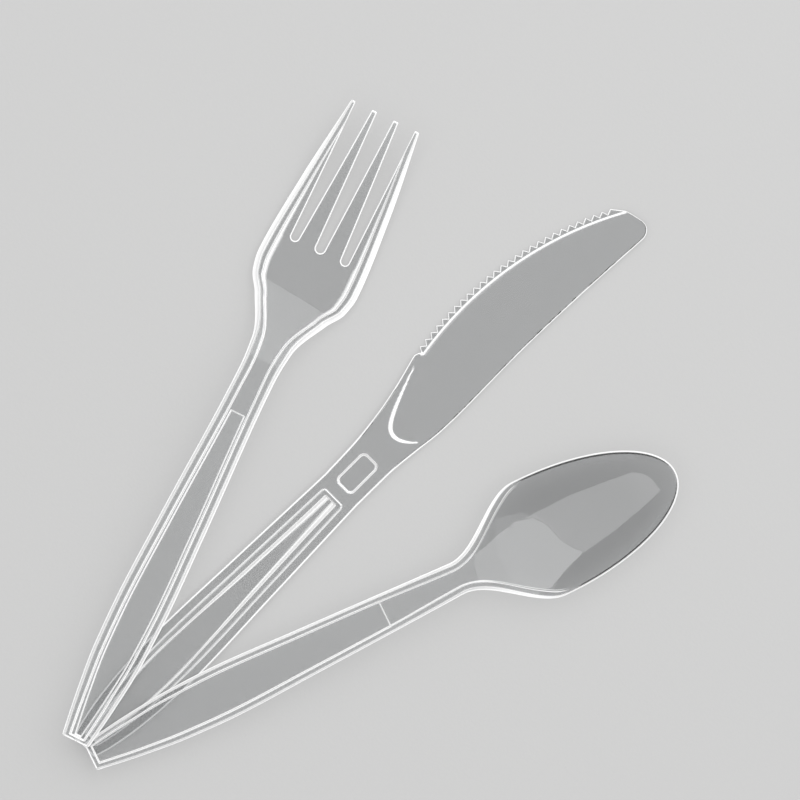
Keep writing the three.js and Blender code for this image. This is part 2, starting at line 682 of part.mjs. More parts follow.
const spoon = clearPiece('spoon', buildSpoon());
spoon.position.set(...SPOON_HANDLE_END, 0);
spoon.rotation.z = SPOON_TURN;
pack.add(spoon);

// Stand the pack on the table with the centre of its footprint at the origin.
const box = new THREE.Box3().setFromObject(pack, true);
const centre = box.getCenter(new THREE.Vector3());
pack.position.set(-centre.x, -centre.y, -box.min.z);

export default pack;
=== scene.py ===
# %% [markdown]
# # A clear plastic fork, knife and spoon
#
# This notebook gives three pieces of picnic cutlery their final shape and finish. Each one is a
# single moulding in clear polystyrene, so there are no joins to model. What makes such a piece look
# real is its relief: a raised rim, sunken panels, a long trough, a row of teeth. Light bends and
# flashes at every one of those small steps, and almost nothing else of a clear piece can be seen.
#
# The measured model comes first. It says where every piece lies, in metres, and nothing below moves it.

# %% Load the measured model
import math

import bpy
import numpy as np
from mathutils import Matrix, Vector


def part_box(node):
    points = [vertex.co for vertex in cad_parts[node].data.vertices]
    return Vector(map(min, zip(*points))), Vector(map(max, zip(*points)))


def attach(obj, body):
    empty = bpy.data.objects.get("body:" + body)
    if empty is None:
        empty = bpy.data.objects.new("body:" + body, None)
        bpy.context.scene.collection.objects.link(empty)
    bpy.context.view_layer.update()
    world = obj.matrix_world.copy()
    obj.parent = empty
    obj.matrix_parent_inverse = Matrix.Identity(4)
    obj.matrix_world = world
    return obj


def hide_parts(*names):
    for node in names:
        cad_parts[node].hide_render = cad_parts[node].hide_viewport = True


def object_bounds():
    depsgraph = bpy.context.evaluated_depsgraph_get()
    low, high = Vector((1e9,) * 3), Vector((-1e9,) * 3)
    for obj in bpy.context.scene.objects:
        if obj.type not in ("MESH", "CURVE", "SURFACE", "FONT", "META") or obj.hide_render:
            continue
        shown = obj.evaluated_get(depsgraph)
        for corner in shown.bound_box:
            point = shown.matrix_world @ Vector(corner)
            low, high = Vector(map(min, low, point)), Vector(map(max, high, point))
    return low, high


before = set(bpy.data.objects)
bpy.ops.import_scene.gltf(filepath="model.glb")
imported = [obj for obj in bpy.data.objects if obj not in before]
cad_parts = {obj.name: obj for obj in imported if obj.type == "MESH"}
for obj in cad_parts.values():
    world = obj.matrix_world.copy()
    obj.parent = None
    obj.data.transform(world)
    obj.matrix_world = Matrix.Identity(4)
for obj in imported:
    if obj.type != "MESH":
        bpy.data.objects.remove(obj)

MM = 0.001
cad_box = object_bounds()
print("pieces in the measured model:", sorted(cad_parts))
print("size in mm:", [round(side / MM, 1) for side in cad_box[1] - cad_box[0]])

# %% [markdown]
# ## Camera
#
# Flat cutlery shows its outline best from straight above, and the knife runs from the lower left to
# the upper right. A long lens from far away keeps the outlines true, because it has hardly any
# perspective. The picture is turned by rolling the camera, so the cutlery itself stays where it is.

# %% Camera straight above
LENS = 200
SENSOR = 36
PICTURE_WIDTH = 198 * MM
ROLL = math.radians(45)
AIM_FROM_CENTRE = Vector((-3.4, 22, 0)) * MM

centre = (cad_box[0] + cad_box[1]) / 2
camera = bpy.data.objects.new("camera", bpy.data.cameras.new("camera"))
bpy.context.scene.collection.objects.link(camera)
camera.data.lens = LENS
camera.data.sensor_width = SENSOR
height = PICTURE_WIDTH * LENS / SENSOR
camera.location = centre + AIM_FROM_CENTRE + Vector((0, 0, height))
camera.rotation_euler = (0, 0, ROLL)
camera.data.clip_end = 10
bpy.context.scene.camera = camera
print("camera height in m:", round(height, 2))

# %% [markdown]
# ## Lines that the mould maker would draw
#
# A mould maker sets out a handle with a few widths along its length and runs a smooth line through
# them. The helper below does the same. Its slopes are limited so that the line never swings past a
# width that was asked for, which an ordinary spline would do. Sizes are in millimetres up to the
# moment a mesh is made, since that is how such drawings are dimensioned.

# %% Smooth lines and ramps
def smooth_line(stations):
    """A smooth line through [place, value] stations, ready to be read at any places."""
    stops, values = np.array(stations, float).T
    rises = np.diff(values) / np.diff(stops)
    slopes = np.empty(len(stops))
    slopes[0], slopes[-1] = rises[0], rises[-1]
    before, after = rises[:-1], rises[1:]
    same_way = before * after > 0
    total = np.where(same_way, before + after, 1)
    slopes[1:-1] = np.where(same_way, 2 * before * after / total, 0)

    def at(place):
        place = np.clip(place, stops[0], stops[-1])
        i = np.clip(np.searchsorted(stops, place) - 1, 0, len(rises) - 1)
        span = stops[i + 1] - stops[i]
        t = (place - stops[i]) / span
        ends = values[i] * (1 + 2 * t) * (1 - t) ** 2 + values[i + 1] * t * t * (3 - 2 * t)
        return ends + span * (slopes[i] * t * (1 - t) ** 2 - slopes[i + 1] * t * t * (1 - t))

    return at


def ramp(place, start, end):
    """0 before start and 1 after end, with soft shoulders like a polished corner."""
    t = np.clip((place - start) / (end - start), 0, 1)
    return t * t * (3 - 2 * t)


def mix(a, b, share):
    return a + (b - a) * share


def each_once(rows, closest):
    """Rows in order, without those that follow another by less than the closest spacing."""
    rows = np.unique(rows)
    return rows[np.append(True, np.diff(rows) > closest)]


def places(*parts):
    """Rows along a piece from parts (start, end, step), each row once."""
    rows = [np.linspace(a, b, max(2, int(np.ceil((b - a) / step)) + 1)) for a, b, step in parts]
    return each_once(np.round(np.concatenate(rows), 3), closest=0.02)


print("half-way up a soft ramp:", ramp(0.5, 0, 1))

# %% [markdown]
# ## One way of making all three pieces
#
# Extruding an outline and cutting it with booleans leaves flat facets, and clear plastic shows every
# facet. A subdivided cage would be smooth, but its steps would wander. So each piece is a net of rows
# across it and columns along it, and the columns follow the rim, the panels and the trough. Two
# height rules lift the net into a top face and an underside.
#
# The outline is then closed with a small round, because no moulded edge is quite sharp. The round
# catches the light, and the finish also paints it white as a painted highlight, so it shows as a thin
# bright line.

# %% Find the outlines of a net
def outline_loops(quads):
    """The edges that only one face uses, strung into closed loops."""
    sides = np.concatenate([quads[:, [k, (k + 1) % 4]] for k in range(4)])
    many = quads.max() + 1
    alone = sides[~np.isin(sides[:, 0] * many + sides[:, 1], sides[:, 1] * many + sides[:, 0])]
    following = dict(alone.tolist())
    loops = []
    while following:
        loop = [next(iter(following))]
        while following[loop[-1]] != loop[0]:
            loop.append(following.pop(loop[-1]))
        following.pop(loop[-1])
        loops.append(np.array(loop))
    return loops


def outward(points):
    """At each point of a closed loop, the direction that points away from the plastic."""
    step = np.roll(points, -1, axis=0) - points
    side = np.stack([step[:, 1], -step[:, 0]], axis=1)
    side /= np.maximum(np.linalg.norm(side, axis=1, keepdims=True), 1e-9)
    both = side + np.roll(side, 1, axis=0)
    return both / np.maximum(np.linalg.norm(both, axis=1, keepdims=True), 1e-9)


print("edges round a single cell:", len(outline_loops(np.array([[0, 1, 2, 3]]))[0]))

# %% [markdown]
# The net also stores a number at every knot, mould_wall. It is 1 on the round edge and wherever the
# plastic changes thickness steeply, and 0 on the level faces. The finish reads it further down: it
# frosts these places and paints them white, a painted highlight.

# %% Where the plastic is steep
STEEP = (0.22, 0.6)


def step_share(top, under, x, y):
    """1 where the plastic changes thickness steeply, as on a mould's walls, and 0 on its faces."""
    def thickness(x, y):
        return top(x, y) - under(x, y)

    reach = 0.1
    sideways = (thickness(x + reach, y) - thickness(x - reach, y)) / (2 * reach)
    lengthways = (thickness(x, y + reach) - thickness(x, y - reach)) / (2 * reach)
    return ramp(np.hypot(sideways, lengthways), *STEEP)


print("a wall of 45 degrees counts as", float(step_share(lambda x, y: x, lambda x, y: 0, 0, 0)))

# %% [markdown]
# Rings of points round the edge and join the two faces. A weighted-normal modifier keeps the wide
# faces flat right up to the round.

# %% Turn a net into a closed moulding
ROUND_STEPS = 4
MOST_ROUND = 0.45


def net_cells(shape, gaps):
    """The four corners of every cell of a net, without the cells in the gaps."""
    number = np.arange(shape[0] * shape[1]).reshape(shape)
    corners = [number[:-1, :-1], number[:-1, 1:], number[1:, 1:], number[1:, :-1]]
    quads = np.stack(corners, axis=-1)
    return quads[~gaps] if gaps is not None else quads.reshape(-1, 4)


def round_the_edge(outline, size, high, low):
    """Rings of points from the top's outline to the underside's, with both corners rounded."""
    direction = outward(outline)
    tall = np.minimum(size, MOST_ROUND * (high - low))
    turns = [k / ROUND_STEPS * math.pi / 2 for k in range(1, ROUND_STEPS + 1)]
    for level, sign, order in ((high, -1, turns), (low, 1, turns[::-1])):
        for turn in order:
            plan = outline + direction * size[:, None] * math.sin(turn)
            yield np.column_stack([plan, level + sign * tall * (1 - math.cos(turn))])


def make_piece(name, points, faces, shares):
    """A smooth object from points in millimetres, with its share of mould_wall at each point."""
    mesh = bpy.data.meshes.new(name)
    mesh.from_pydata((np.concatenate(points) * MM).tolist(), [], np.concatenate(faces).tolist())
    wall = mesh.attributes.new("mould_wall", "FLOAT", "POINT")
    wall.data.foreach_set("value", np.concatenate(shares))
    mesh.shade_smooth()
    piece = bpy.data.objects.new(name, mesh)
    bpy.context.scene.collection.objects.link(piece)
    keep_flats_flat = piece.modifiers.new("keep flats flat", "WEIGHTED_NORMAL")
    keep_flats_flat.weight = 50
    return piece


def mould(name, across, along, top, under, radius, gaps=None, frost_and_highlight=None):
    """A closed piece from a net. across and along place the net's knots in millimetres."""
    knots = np.stack([across, along], axis=-1).reshape(-1, 2)
    used, quads = np.unique(net_cells(across.shape, gaps), return_inverse=True)
    quads = quads.reshape(-1, 4)
    knots = knots[used]

    high = top(*knots.T)
    low = under(*knots.T)
    loops = outline_loops(quads)
    points = [np.column_stack([knots, high]), np.column_stack([knots, low])]
    faces = [quads, quads[:, ::-1] + len(knots)]
    # Where the finish frosts the plastic and paints it white as a highlight: frost_and_highlight if
    # given, else the steep steps, and always the outline and its round.
    share = frost_and_highlight(*knots.T) if frost_and_highlight else step_share(top, under, *knots.T)
    share[np.concatenate(loops)] = 1
    shares = [share, share]
    count = 2 * len(knots)
    for loop in loops:
        size = np.broadcast_to(radius(knots[loop, 1]), len(loop))
        rings = [loop]
        for ring in round_the_edge(knots[loop], size, high[loop], low[loop]):
            points.append(ring)
            rings.append(np.arange(count, count + len(loop)))
            shares.append(np.ones(len(loop)))
            count += len(loop)
        rings.append(loop + len(knots))
        for upper, lower in zip(rings, rings[1:]):
            faces.append(np.stack([upper, lower, np.roll(lower, -1), np.roll(upper, -1)], axis=1))

    piece = make_piece(name, points, faces, shares)
    print(name, "faces:", len(piece.data.polygons), "outlines:", len(loops))
    return piece

# %% [markdown]
# ## Laying a piece where the measured model has it
#
# Each piece is made lying along its own Y axis. It is turned by the angle of the fan and then pushed
# until its box agrees with the box of the measured piece, so nothing has to be fitted by eye.

# %% Lay a piece in place
def lay(piece, node, turn):
    piece.data.transform(Matrix.Rotation(turn, 4, "Z"))
    corners = np.array([vertex.co for vertex in piece.data.vertices])
    low, high = corners.min(axis=0), corners.max(axis=0)
    want_low, want_high = (np.array(corner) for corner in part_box(node))
    move = (want_low + want_high) / 2 - (low + high) / 2
    move[2] = want_low[2] - low[2]
    piece.data.transform(Matrix.Translation(move))
    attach(piece, "root")
    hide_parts(node)
    print(node, "differs from its measured size by, in mm:",
          np.round(((high - low) - (want_high - want_low)) / MM, 2))

# %% [markdown]
# ## The fork's outline and levels
#
# The fork is a thin plate with a raised rim round its edge, like a very shallow tray. The rim makes a
# thin plate stiff. On the handle a second, narrower panel is sunk into the plate. The neck drops to
# the head, the head is a little dished, and the tines curve up again towards their tips.

# %% Fork dimensions
FORK_TURN = math.radians(18.6)
STEP_RUN = 0.35
FORK_LENGTH = 172.3
FORK_LOWEST = 133
fork_edge = smooth_line([
    [0, 3.7], [12, 5.35], [24, 6.5], [37, 6.8], [60, 6.15], [101, 4.78],
    [109, 5.4], [119, 9.8], [124, 12.8], [129, 13.7], [150, 12.2], [FORK_LENGTH, 9.35],
])
fork_underside = smooth_line([
    [0, 5.5], [96, 7], [104, 6.2], [116, 2.2], [126, 0.2], [FORK_LOWEST, 0], [150, 0.9],
    [160, 2.4], [FORK_LENGTH, 5.6],
])
fork_rim_width = smooth_line([
    [0, 1.7], [10, 2], [20, 2.2], [95, 2.3], [106, 2.55], [118, 2.2], [130, 2.7],
    [150, 2.3], [FORK_LENGTH, 1.4],
])
fork_rim_slope = smooth_line([[0, 0.75], [106, 0.75], [120, 1.35], [150, 1.3], [FORK_LENGTH, 0.5]])
fork_rim_thickness = smooth_line([[0, 2.3], [130, 2.3], [FORK_LENGTH, 1.5]])
fork_plate_thickness = smooth_line([[0, 1.7], [130, 1.7], [FORK_LENGTH, 1.3]])
fork_dish = smooth_line([[0, 0], [100, 0], [122, 0.8], [150, 0.6], [FORK_LENGTH, 0.3]])
FORK_WIDEST = 13.7
FORK_EDGE_LIP = 0.6
FORK_END_RIM = 0.9
FORK_END_SLOPE_START = -0.3
FORK_PANEL_INSET = 2.95
FORK_PANEL = (1.4, 90.6)
FORK_PANEL_DEPTH = 0.35
print("fork half width at the neck:", round(float(fork_edge(101)), 2))

# %% [markdown]
# The two height rules say how thick the plastic is at any spot. They ask how far inside the edge the
# spot lies, measured square to the edge, so the rim keeps its width where the outline flares.

# %% Fork height rules
def steepness(edge, along):
    """How much longer a step square to the edge is than its share across the piece."""
    return np.hypot(1, (edge(along + 0.05) - edge(along - 0.05)) / 0.1)


def fork_under(across, along):
    return fork_underside(along) + fork_dish(along) * (across / FORK_WIDEST) ** 2


def fork_top(across, along):
    inside = (fork_edge(along) - np.abs(across)) / steepness(fork_edge, along)
    from_end = along - FORK_END_SLOPE_START
    wall = np.minimum(inside / fork_rim_slope(along), from_end / STEP_RUN)
    rim_width = fork_rim_width(along)
    in_rim = np.minimum(
        ramp(inside, rim_width, rim_width + STEP_RUN),
        ramp(along, FORK_END_RIM, FORK_END_RIM + STEP_RUN),
    )
    panel_side = fork_edge(along) - FORK_PANEL_INSET - np.abs(across)
    start, end = FORK_PANEL
    in_panel = np.minimum.reduce([
        ramp(panel_side, 0, STEP_RUN),
        ramp(along, start, start + STEP_RUN),
        1 - ramp(along, end - STEP_RUN, end),
    ])
    rim = mix(FORK_EDGE_LIP, fork_rim_thickness(along), np.clip(wall, 0, 1))
    thick = mix(rim, fork_plate_thickness(along), in_rim) - FORK_PANEL_DEPTH * in_panel
    return fork_under(across, along) + thick


print("fork thickness in the panel:", round(float(fork_top(0, 40) - fork_under(0, 40)), 2))

# %% [markdown]
# ## The fork's tines
#
# Three slots part the four tines. A boolean cut would leave long thin triangles there, so the net
# simply leaves its cells out: two of its columns follow the sides of each slot and close round the
# slot's root in a half circle.

# %% Fork slots
FORK_ROUND = 0.25
SLOT_ROOT = 134.8
ROOT_HALF_ANGLE = math.radians(18)


def straight(start, end):
    return lambda along: np.interp(along, [SLOT_ROOT, FORK_LENGTH], [start, end])


centre_slot = (straight(-1.1, -2.25), straight(1.1, 2.25))
side_slot = (straight(6, 3.65), straight(7.9, 8.15))


def slot_sides(slot, along):
    """Both sides of a slot, drawn together round its root and set back by the rounding."""
    left, right = slot[0](along) - FORK_ROUND, slot[1](along) + FORK_ROUND
    radius = (slot[1](SLOT_ROOT) - slot[0](SLOT_ROOT)) / 2 + FORK_ROUND
    into = along - SLOT_ROOT + FORK_ROUND
    into = np.clip(into, radius * (1 - math.cos(ROOT_HALF_ANGLE)), radius)
    half = np.sqrt(radius ** 2 - (radius - into) ** 2) / radius * (right - left) / 2
    return (left + right) / 2 - half, (left + right) / 2 + half


for name, (left, right) in (("centre", centre_slot), ("side", side_slot)):
    print(name, "slot is", round(float(right(FORK_LENGTH) - left(FORK_LENGTH)), 2), "mm wide at the tips")

# %% [markdown]
# The main columns are lines of the fork: its middle, the slots' sides, the step inside the rim, the
# rim and the edge. A few cells lie between two of them, and only the right half is worked out.

# %% Fork rows and columns
TIGHT = 0.09
ROOT_RADIUS = 1.3
SLOT_LINE = 0.15
TO_SLOTS = (91.5, 126)
NARROW_TINE = (0.06, 0.12, 0.2)
HALF_CENTRE_SLOT_CELLS = 2
INNER_TINE_CELLS = (1, 4, 1)
SIDE_SLOT_CELLS = 6


def between(*marks):
    """Columns from marks (line, cells up to the next mark); the last mark's count is not used."""
    lines = []
    for (start, count), (end, _) in zip(marks, marks[1:]):
        lines += [mix(start, end, k / count) for k in range(count)]
    return np.stack(lines + [marks[-1][0]], axis=1)


def both_sides(rows, right):
    """The places across and along of all knots, from the columns of the right half."""
    across = np.concatenate([-right[:, :0:-1], right], axis=1)
    return across, np.repeat(rows[:, None], across.shape[1], axis=1)


def fork_rows():
    """Rows along the fork, tight at each step, and the row where the slots begin."""
    turns = np.linspace(ROOT_HALF_ANGLE, math.pi / 2, 7)
    root_rows = SLOT_ROOT - FORK_ROUND + ROOT_RADIUS * (1 - np.cos(turns))
    panel_end = FORK_PANEL[1]
    rows = places(
        (FORK_ROUND, 0.85, 0.3), (0.9, 1.9, TIGHT), (2.1, 89.4, 1.6),
        (panel_end - 0.9, panel_end + 0.1, TIGHT), (91, 104, 0.8), (104, 130, 0.4),
        (130, 133.9, 0.6), (136.4, FORK_LENGTH - 0.8, 0.9),
        (FORK_LENGTH - 0.5, FORK_LENGTH - FORK_ROUND, 0.25),
    )
    return np.sort(np.concatenate([rows, root_rows, [root_rows[0] - SLOT_LINE]])), root_rows[0]


def fork_columns(rows, root):
    """Columns from the middle line to the right edge."""
    edge = fork_edge(rows)
    stretch = steepness(fork_edge, rows)
    last = edge - FORK_ROUND * stretch
    slope_end = edge - fork_rim_slope(rows) * stretch
    rim = edge - fork_rim_width(rows) * stretch
    step = rim - STEP_RUN * stretch
    panel = edge - FORK_PANEL_INSET

    # Before the slots, their lines keep their share of the width between the rims.
    at_slots = np.maximum(rows, root)
    scale = np.where(rows < root, step / step[rows == root], 1)
    to_slots = ramp(rows, *TO_SLOTS)
    inner, outer = (line * scale for line in slot_sides(side_slot, at_slots))
    near = slot_sides(centre_slot, at_slots)[1] * scale
    outer = mix(panel, outer, to_slots)
    inner = mix(panel - STEP_RUN, inner, to_slots)
    near = mix((panel - STEP_RUN) * 0.4, near, to_slots)
    # On a tine too narrow for the whole rim, its lines crowd against the slot.
    step, rim, slope_end = (
        np.maximum(line, mix(outer, last, share))
        for line, share in zip((step, rim, slope_end), NARROW_TINE)
    )
    beside_slot = np.minimum(SLOT_LINE, (step - outer) / 2)
    a, b, c = INNER_TINE_CELLS
    return between(
        (0 * edge, HALF_CENTRE_SLOT_CELLS), (near, a), (near + SLOT_LINE, b),
        (inner - SLOT_LINE, c), (inner, SIDE_SLOT_CELLS), (outer, 1), (outer + beside_slot, 3),
        (step, 5), (rim, 4), (slope_end, 4), (last, 0),
    )


rows, root = fork_rows()
print("the fork's net has", len(rows), "rows, and its slots begin at", round(float(root), 2), "mm")

# %% [markdown]
# The cells of the three slots are marked as gaps, and the row that starts them is bent into the round
# roots.

# %% Fork net
def fork_net(rows, root):
    right = fork_columns(rows, root)
    across, along = both_sides(rows, right)
    first_gap = int(np.searchsorted(rows, root))
    middle_column = right.shape[1] - 1
    side_slot_column = HALF_CENTRE_SLOT_CELLS + sum(INNER_TINE_CELLS)
    gaps = np.zeros((len(rows) - 1, across.shape[1] - 1), bool)
    for first, count in (
        (-side_slot_column - SIDE_SLOT_CELLS, SIDE_SLOT_CELLS),
        (-HALF_CENTRE_SLOT_CELLS, 2 * HALF_CENTRE_SLOT_CELLS),
        (side_slot_column, SIDE_SLOT_CELLS),
    ):
        start = middle_column + first
        gaps[first_gap:, start:start + count] = True
        on_root = slice(start, start + count + 1)
        x = across[first_gap, on_root]
        x = x - x.mean()
        radius = x[-1] / math.sin(ROOT_HALF_ANGLE)
        along[first_gap, on_root] += math.cos(ROOT_HALF_ANGLE) * radius - np.sqrt(radius ** 2 - x ** 2)
    return across, along, gaps


across, along, gaps = fork_net(rows, root)
fork = mould("clear_fork", across, along, fork_top, fork_under, lambda y: FORK_ROUND, gaps)
lay(fork, "fork", FORK_TURN)

# %% [markdown]
# ## The spoon
#
# The spoon has the same kind of rimmed handle. Its bowl is half an ellipse in plan, and its rim
# thins out and disappears where the bowl begins. The rows of the net are spaced by an angle round
# the ellipse, so that they crowd together towards the tip, where the outline turns fastest.

# %% Spoon dimensions
SPOON_TURN = math.radians(-19)
NECK_HALF_WIDTH = 4.2
NECK_END = 101
BOWL_CENTRE = 125
BOWL_WIDEST_FROM = 123.5
BOWL_HALF_WIDTH = 15.5
BOWL_FRONT = 36.1
SPOON_LENGTH = BOWL_CENTRE + BOWL_FRONT
BOWL_START = 102
BOWL_DEEPEST = 134
BOWL_DEPTH = 5.7
BOWL_FLOOR = 1.2
BOWL_SIDE_POWER = 2.6
BOWL_FRONT_POWER = 3.4
RIM_FADE = (112, 124)
LIP_WIDTH = 0.75
SPOON_EDGE_LIP = 0.5
SPOON_END_RIM = 1.2
SPOON_PANEL_END = 81
SPOON_PANEL_DROP = 0.75
SPOON_NECK_DROP = 0.45
spoon_handle_edge = smooth_line([
    [0, 3.75], [12, 5.4], [24, 6.5], [36, 6.85], [60, 5.95], [101, 4.2],
])
spoon_rim_top = smooth_line([
    [0, 4.8], [96, 8], [104, 7.7], [114, 7], [BOWL_DEEPEST, 6.9], [SPOON_LENGTH, 7.3],
])
spoon_edge_thickness = smooth_line([[0, 2.3], [98, 2.3], [118, 0.9], [SPOON_LENGTH, 0.8]])
spoon_rim_width = smooth_line([
    [0, 1.5], [35, 1.75], [80, 1.6], [100, 1.95], [118, 1.8], [BOWL_CENTRE, LIP_WIDTH],
])
spoon_rim_slope = smooth_line([[0, 0.55], [90, 0.55], [110, 0.85], [BOWL_CENTRE, 0.3]])
print("spoon length in mm:", round(SPOON_LENGTH, 1))

# %% [markdown]
# The outline has one rule for the handle and one for the bowl. A second rule says how far inside it
# a spot lies: beside the neck that is a straight distance, and in the bowl it follows the ellipse.

# %% Spoon outline
def spoon_edge(along):
    flare = ramp(along, NECK_END, BOWL_WIDEST_FROM)
    forward = np.clip((along - BOWL_CENTRE) / BOWL_FRONT, 0, 1)
    bowl = mix(NECK_HALF_WIDTH, BOWL_HALF_WIDTH, flare) * np.sqrt(1 - forward ** 2)
    return np.where(along <= NECK_END, spoon_handle_edge(along), bowl)


def inside_spoon(across, along):
    """Distance inside the outline, square to it."""
    behind = np.minimum(along, BOWL_CENTRE)
    beside = (spoon_edge(behind) - np.abs(across)) / steepness(spoon_edge, behind)
    forward = np.maximum(along - BOWL_CENTRE, 0) / BOWL_FRONT
    side = across / BOWL_HALF_WIDTH
    reach = np.hypot(forward, side)
    lean = np.maximum(np.hypot(forward / BOWL_FRONT, side / BOWL_HALF_WIDTH), 1e-6)
    return np.where(along <= BOWL_CENTRE, beside, (1 - reach) * reach / lean)


print("widest half of the bowl in mm:", float(spoon_edge(BOWL_CENTRE)))

# %% [markdown]
# A spoon's bowl is a shell of nearly even thickness, so it needs two hollows, one inside the other.
# The inner one starts inside the rim and the outer one at the very edge. Both sink along the middle
# with one soft ramp and rise again to the tip, and across the bowl they follow a power curve, which
# is flat at the bottom and steep at the sides.

# %% Spoon height rules
def sunk(along, end):
    """How far the bowl has sunk along its middle, from 0 at the neck to 1 at its deepest."""
    front = np.clip((along - BOWL_DEEPEST) / (end - BOWL_DEEPEST), 0, 1)
    return np.where(
        along <= BOWL_DEEPEST, ramp(along, BOWL_START, BOWL_DEEPEST), 1 - front ** BOWL_FRONT_POWER
    )


def spoon_under(across, along):
    half = np.maximum(spoon_edge(along), 0.01)
    share = np.clip(np.abs(across) / half, 0, 1) ** BOWL_SIDE_POWER
    edge_thickness = spoon_edge_thickness(along)
    depth = (BOWL_DEPTH + BOWL_FLOOR - edge_thickness) * sunk(along, SPOON_LENGTH)
    return spoon_rim_top(along) - edge_thickness - depth * (1 - share)


def spoon_top(across, along):
    width = spoon_rim_width(along)
    inside = inside_spoon(across, along)
    half = spoon_edge(along) - width * steepness(spoon_edge, np.minimum(along, BOWL_CENTRE))
    share = np.clip(np.abs(across) / np.maximum(half, 0.01), 0, 1) ** BOWL_SIDE_POWER
    wall = np.clip(inside / spoon_rim_slope(along), 0, 1)
    in_rim = np.minimum(
        ramp(inside, width, width + STEP_RUN),
        ramp(along, SPOON_END_RIM, SPOON_END_RIM + STEP_RUN),
    )
    past_panel = ramp(along, SPOON_PANEL_END, SPOON_PANEL_END + STEP_RUN)
    drop = mix(SPOON_PANEL_DROP, SPOON_NECK_DROP, past_panel) * (1 - ramp(along, *RIM_FADE))
    edge_drop = (spoon_edge_thickness(along) - SPOON_EDGE_LIP) * (1 - wall)
    bowl = BOWL_DEPTH * sunk(along, SPOON_LENGTH - LIP_WIDTH) * (1 - share)
    return spoon_rim_top(along) - edge_drop - (drop + bowl) * in_rim


print("thickness at the bottom of the bowl:", round(float(
    spoon_top(0, BOWL_DEEPEST) - spoon_under(0, BOWL_DEEPEST)), 2))

# %% [markdown]
# The bowl is polished by hand in the mould, so its hollow has no frosted steps and no painted
# highlight. The rim's slope and its inner step stay frosted and painted white as highlights while the
# rim thins out beside the bowl, and after that only a fine painted highlight line is left along the lip.

# %% Spoon frosting and painted highlights
POLISHED_FROM = 126
INNER_LINE_FADE = 4
BOWL_EDGE_LINE = 0.3
SOFT_EDGE = 0.15
BESIDE_BOWL = (106, 111)


def spoon_frost_and_highlight(across, along):
    """The handle's steps are frosted and painted white as highlights. Beside the bowl only two lines are,
    and then only its lip.
    """
    inside = inside_spoon(across, along)
    slope = np.maximum(spoon_rim_slope(along), BOWL_EDGE_LINE)
    outer_line = 1 - ramp(inside, slope, slope + SOFT_EDGE)
    step = (inside - spoon_rim_width(along)) / STEP_RUN
    inner_line = ramp(step, 0, 0.3) * (1 - ramp(step, 0.7, 1))
    inner_line = inner_line * (1 - ramp(along, POLISHED_FROM - INNER_LINE_FADE, POLISHED_FROM))
    handle_steps = step_share(spoon_top, spoon_under, across, along)
    return mix(handle_steps, np.maximum(outer_line, inner_line), ramp(along, *BESIDE_BOWL))


print("frosting in the middle of the bowl:", float(spoon_frost_and_highlight(0, BOWL_DEEPEST)))

# %% [markdown]
# The columns of the spoon's net keep a fixed distance from the outline, so the thin lip of the bowl
# is drawn by the same few columns all the way round.

# %% Spoon net
SPOON_ROUND = 0.25
LIP_ROUND = 0.15
BOWL_ROWS = 70
LAST_BOWL_ANGLE = math.radians(88.5)
NARROWEST_SLOPE = 0.45


def spoon_round(along):
    """The radius of the spoon's edges: smaller round the thin bowl."""
    return mix(SPOON_ROUND, LIP_ROUND, ramp(along, NECK_END - 1, BOWL_CENTRE))


def spoon_net():
    front = BOWL_FRONT - spoon_round(SPOON_LENGTH)
    round_the_bowl = np.sin(np.linspace(0, LAST_BOWL_ANGLE, BOWL_ROWS))
    rows = places(
        (SPOON_ROUND, 1, 0.25), (1.15, 1.7, TIGHT), (2, 80, 1.8), (80.7, 81.6, TIGHT),
        (82, 98, 1.2), (98, BOWL_CENTRE, 0.6),
    )
    rows = np.concatenate([rows[:-1], BOWL_CENTRE + front * round_the_bowl])
    behind = np.minimum(rows, BOWL_CENTRE)
    stretch = steepness(spoon_edge, behind)
    narrower = np.sqrt(1 - ((rows - behind) / front) ** 2)

    def line(inwards):
        """A line at one distance inside the outline, drawn in to a point at the front."""
        return (spoon_edge(behind) - inwards * stretch) * narrower

    rim_width = spoon_rim_width(rows)
    step = line(rim_width + STEP_RUN)
    right = between(
        (0 * rows, 8), (step * 0.6, 6), (step * 0.92, 3), (step, 5), (line(rim_width), 4),
        (line(np.maximum(spoon_rim_slope(rows), NARROWEST_SLOPE)), 4), (line(spoon_round(rows)), 0),
    )
    return both_sides(rows, right)


across, along = spoon_net()
spoon = mould("clear_spoon", across, along, spoon_top, spoon_under, spoon_round,
              frost_and_highlight=spoon_frost_and_highlight)
lay(spoon, "spoon", SPOON_TURN)

# %% [markdown]
# ## The knife
#
# The knife lies flat. Its handle is the thickest part, with a low raised panel and a long trough
# down the middle that widens towards the end. Near the neck is a small pocket, where the plastic was
# let into the mould. The blade is thinner: its face runs into the handle with a rounded nose, and
# along one side a bevel thins it down to twenty-eight teeth.

